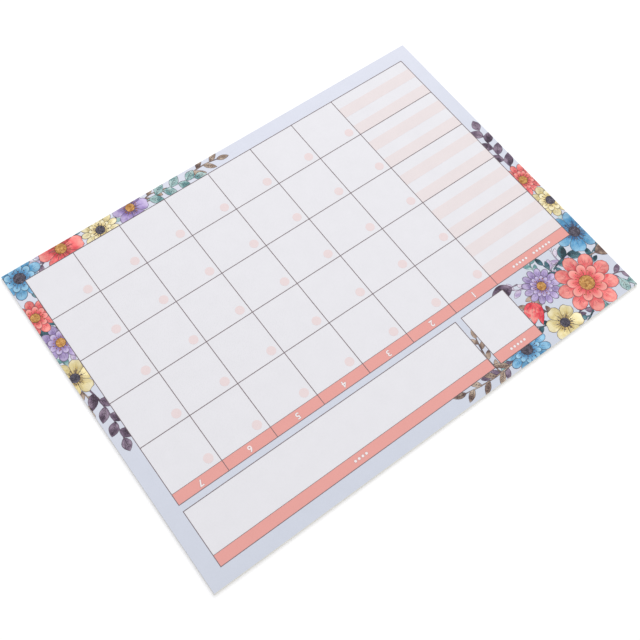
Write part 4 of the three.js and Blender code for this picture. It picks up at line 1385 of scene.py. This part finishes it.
# %% [markdown]
# ## Stamens
# Stamens stand round the eye as short filaments, each with a small head, the anther. They are spread evenly,
# and then shaken a little in angle, length and bow, because an even ring would look like a gear.

# %% Stamens
STAMENS = {"large": 22, "medium": 22, "small": 16}


def stamen_strokes(name):
    """Short filaments that stand out of a flower's eye, of uneven length."""
    _, size, zone, share, _ = BLOOMS[name]
    radius = BLOOM_RADIUS[size]
    middle = spot(zone, share)
    count = STAMENS[size]
    field = field_of(f"print_{name}_petals")
    lines = []
    for index in range(count):
        angle = 2 * math.pi * (index + rng.uniform(-0.35, 0.35)) / count
        onward = Vector((math.cos(angle), math.sin(angle), 0)) * radius
        reach = rng.uniform(1.25, 1.75)
        root, tip = [middle + onward * EYE_SHARE * share_of_eye for share_of_eye in (1.02, reach)]
        line = bowed(root, tip, rng.uniform(-0.1, 0.1))
        lines += [run for run in runs_on(field, line) if len(run) == STROKE_STEPS + 1]
    return lines


dark_blooms = [name for name in BLOOMS if SLOT_OF[f"print_{name}_eye"] == "dark_eye_ink"]
gold_blooms = [name for name in BLOOMS if name not in dark_blooms]
dark_lines = [line for name in dark_blooms for line in stamen_strokes(name)]
gold_lines = [line for name in gold_blooms for line in stamen_strokes(name)]
print("stamens:", len(dark_lines) + len(gold_lines))

# %% [markdown]
# ## From lines to ink
# A pen's line starts full and thins out as the hand lifts. The tree scales a round section along each line by
# a taper and a little noise, presses it flat, and adds a small disc at the end where the stroke is a stamen.

# %% The tree of strokes
ANTHER_SEED = 3


def stroke_tree(name, sizes, material, anthers):
    """Threads of ink along lines, thinner towards their ends, with a small disc at each end if wanted."""
    tree, given = geometry_tree(name, sizes)
    curve = add(tree, "GeometryNodeMeshToCurve", {"Mesh": given["Geometry"]}).outputs[0]
    factor = add(tree, "GeometryNodeSplineParameter").outputs["Factor"]
    taper = add(tree, "ShaderNodeMath", {0: factor, 1: given["Taper"]}, operation="MULTIPLY").outputs[0]
    left = add(tree, "ShaderNodeMath", {0: 1.0, 1: taper}, operation="SUBTRACT").outputs[0]
    uneven = add(tree, "ShaderNodeTexNoise", {"Scale": 1 / (1.5 * MM), "Detail": 1.0}).outputs["Fac"]
    scale = add(tree, "ShaderNodeMath", {0: uneven, 1: 0.5}, operation="ADD").outputs[0]
    thick = add(tree, "ShaderNodeMath", {0: left, 1: scale}, operation="MULTIPLY").outputs[0]
    half_width = add(tree, "ShaderNodeMath", {0: given["Width"], 1: 0.5}, operation="MULTIPLY").outputs[0]
    section = add(tree, "GeometryNodeCurvePrimitiveCircle", {"Resolution": 6, "Radius": half_width}).outputs[0]
    thread = add(tree, "GeometryNodeCurveToMesh", {"Curve": curve, "Profile Curve": section, "Scale": thick,
                                                   "Fill Caps": True}).outputs[0]
    parts = add(tree, "GeometryNodeJoinGeometry")
    tree.links.new(thread, parts.inputs[0])
    if anthers:
        ends = add(tree, "GeometryNodeCurveEndpointSelection", {"Start Size": 0, "End Size": 1}).outputs[0]
        disc = add(tree, "GeometryNodeMeshCylinder", {"Vertices": 8, "Radius": given["Anther"],
                                                      "Depth": given["Width"]}).outputs[0]
        wide = add(tree, "FunctionNodeRandomValue", {2: 0.7, 3: 1.25, "Seed": ANTHER_SEED},
                   data_type="FLOAT").outputs[1]
        dots = add(tree, "GeometryNodeInstanceOnPoints", {"Points": curve, "Selection": ends, "Instance": disc,
                                                          "Scale": wide}).outputs[0]
        tree.links.new(add(tree, "GeometryNodeRealizeInstances", {"Geometry": dots}).outputs[0], parts.inputs[0])
    end_tree(tree, pressed(tree, parts.outputs[0], given["Level"], given["Width"]), material)
    return tree


print("the tree of strokes is ready")

# %% Ribs, veins and stamens
RIB_WIDTH = 0.22 * MM
VEIN_WIDTH = 0.16 * MM
STAMEN_WIDTH = 0.2 * MM
ANTHER = 0.34 * MM
# Ochre and near-black drawing ink: matt and uneven, like the pen's
gold_material = sheet_material("ochre_stamen_ink", "#9A6230", roughness=0.7, amount=0.2)
dark_pen_material = sheet_material("dark_drawing_pen_ink", "#3A3138", roughness=0.7, amount=0.25)


def draw(name, lines, width, taper, material, slot, anther=0.0):
    """Turns lines of points into one piece of ink."""
    sizes = {"Width": width, "Taper": taper, "Level": SECOND_INK}
    if anther:
        sizes["Anther"] = anther
    inked(name, stroke_tree(name, sizes, material, bool(anther)), sizes, slot, line_mesh(name, lines))


draw("leaf_ribs", leaf_lines, RIB_WIDTH, 0.6, dark_pen_material, "dark_eye_ink")
draw("petal_veins", petal_lines, VEIN_WIDTH, 0.7, pen_material, "dark_eye_ink")
draw("dark_stamens", dark_lines, STAMEN_WIDTH, 0.2, pen_material, "dark_eye_ink", ANTHER)
draw("gold_stamens", gold_lines, STAMEN_WIDTH, 0.2, gold_material, "gold_eye_ink", ANTHER)
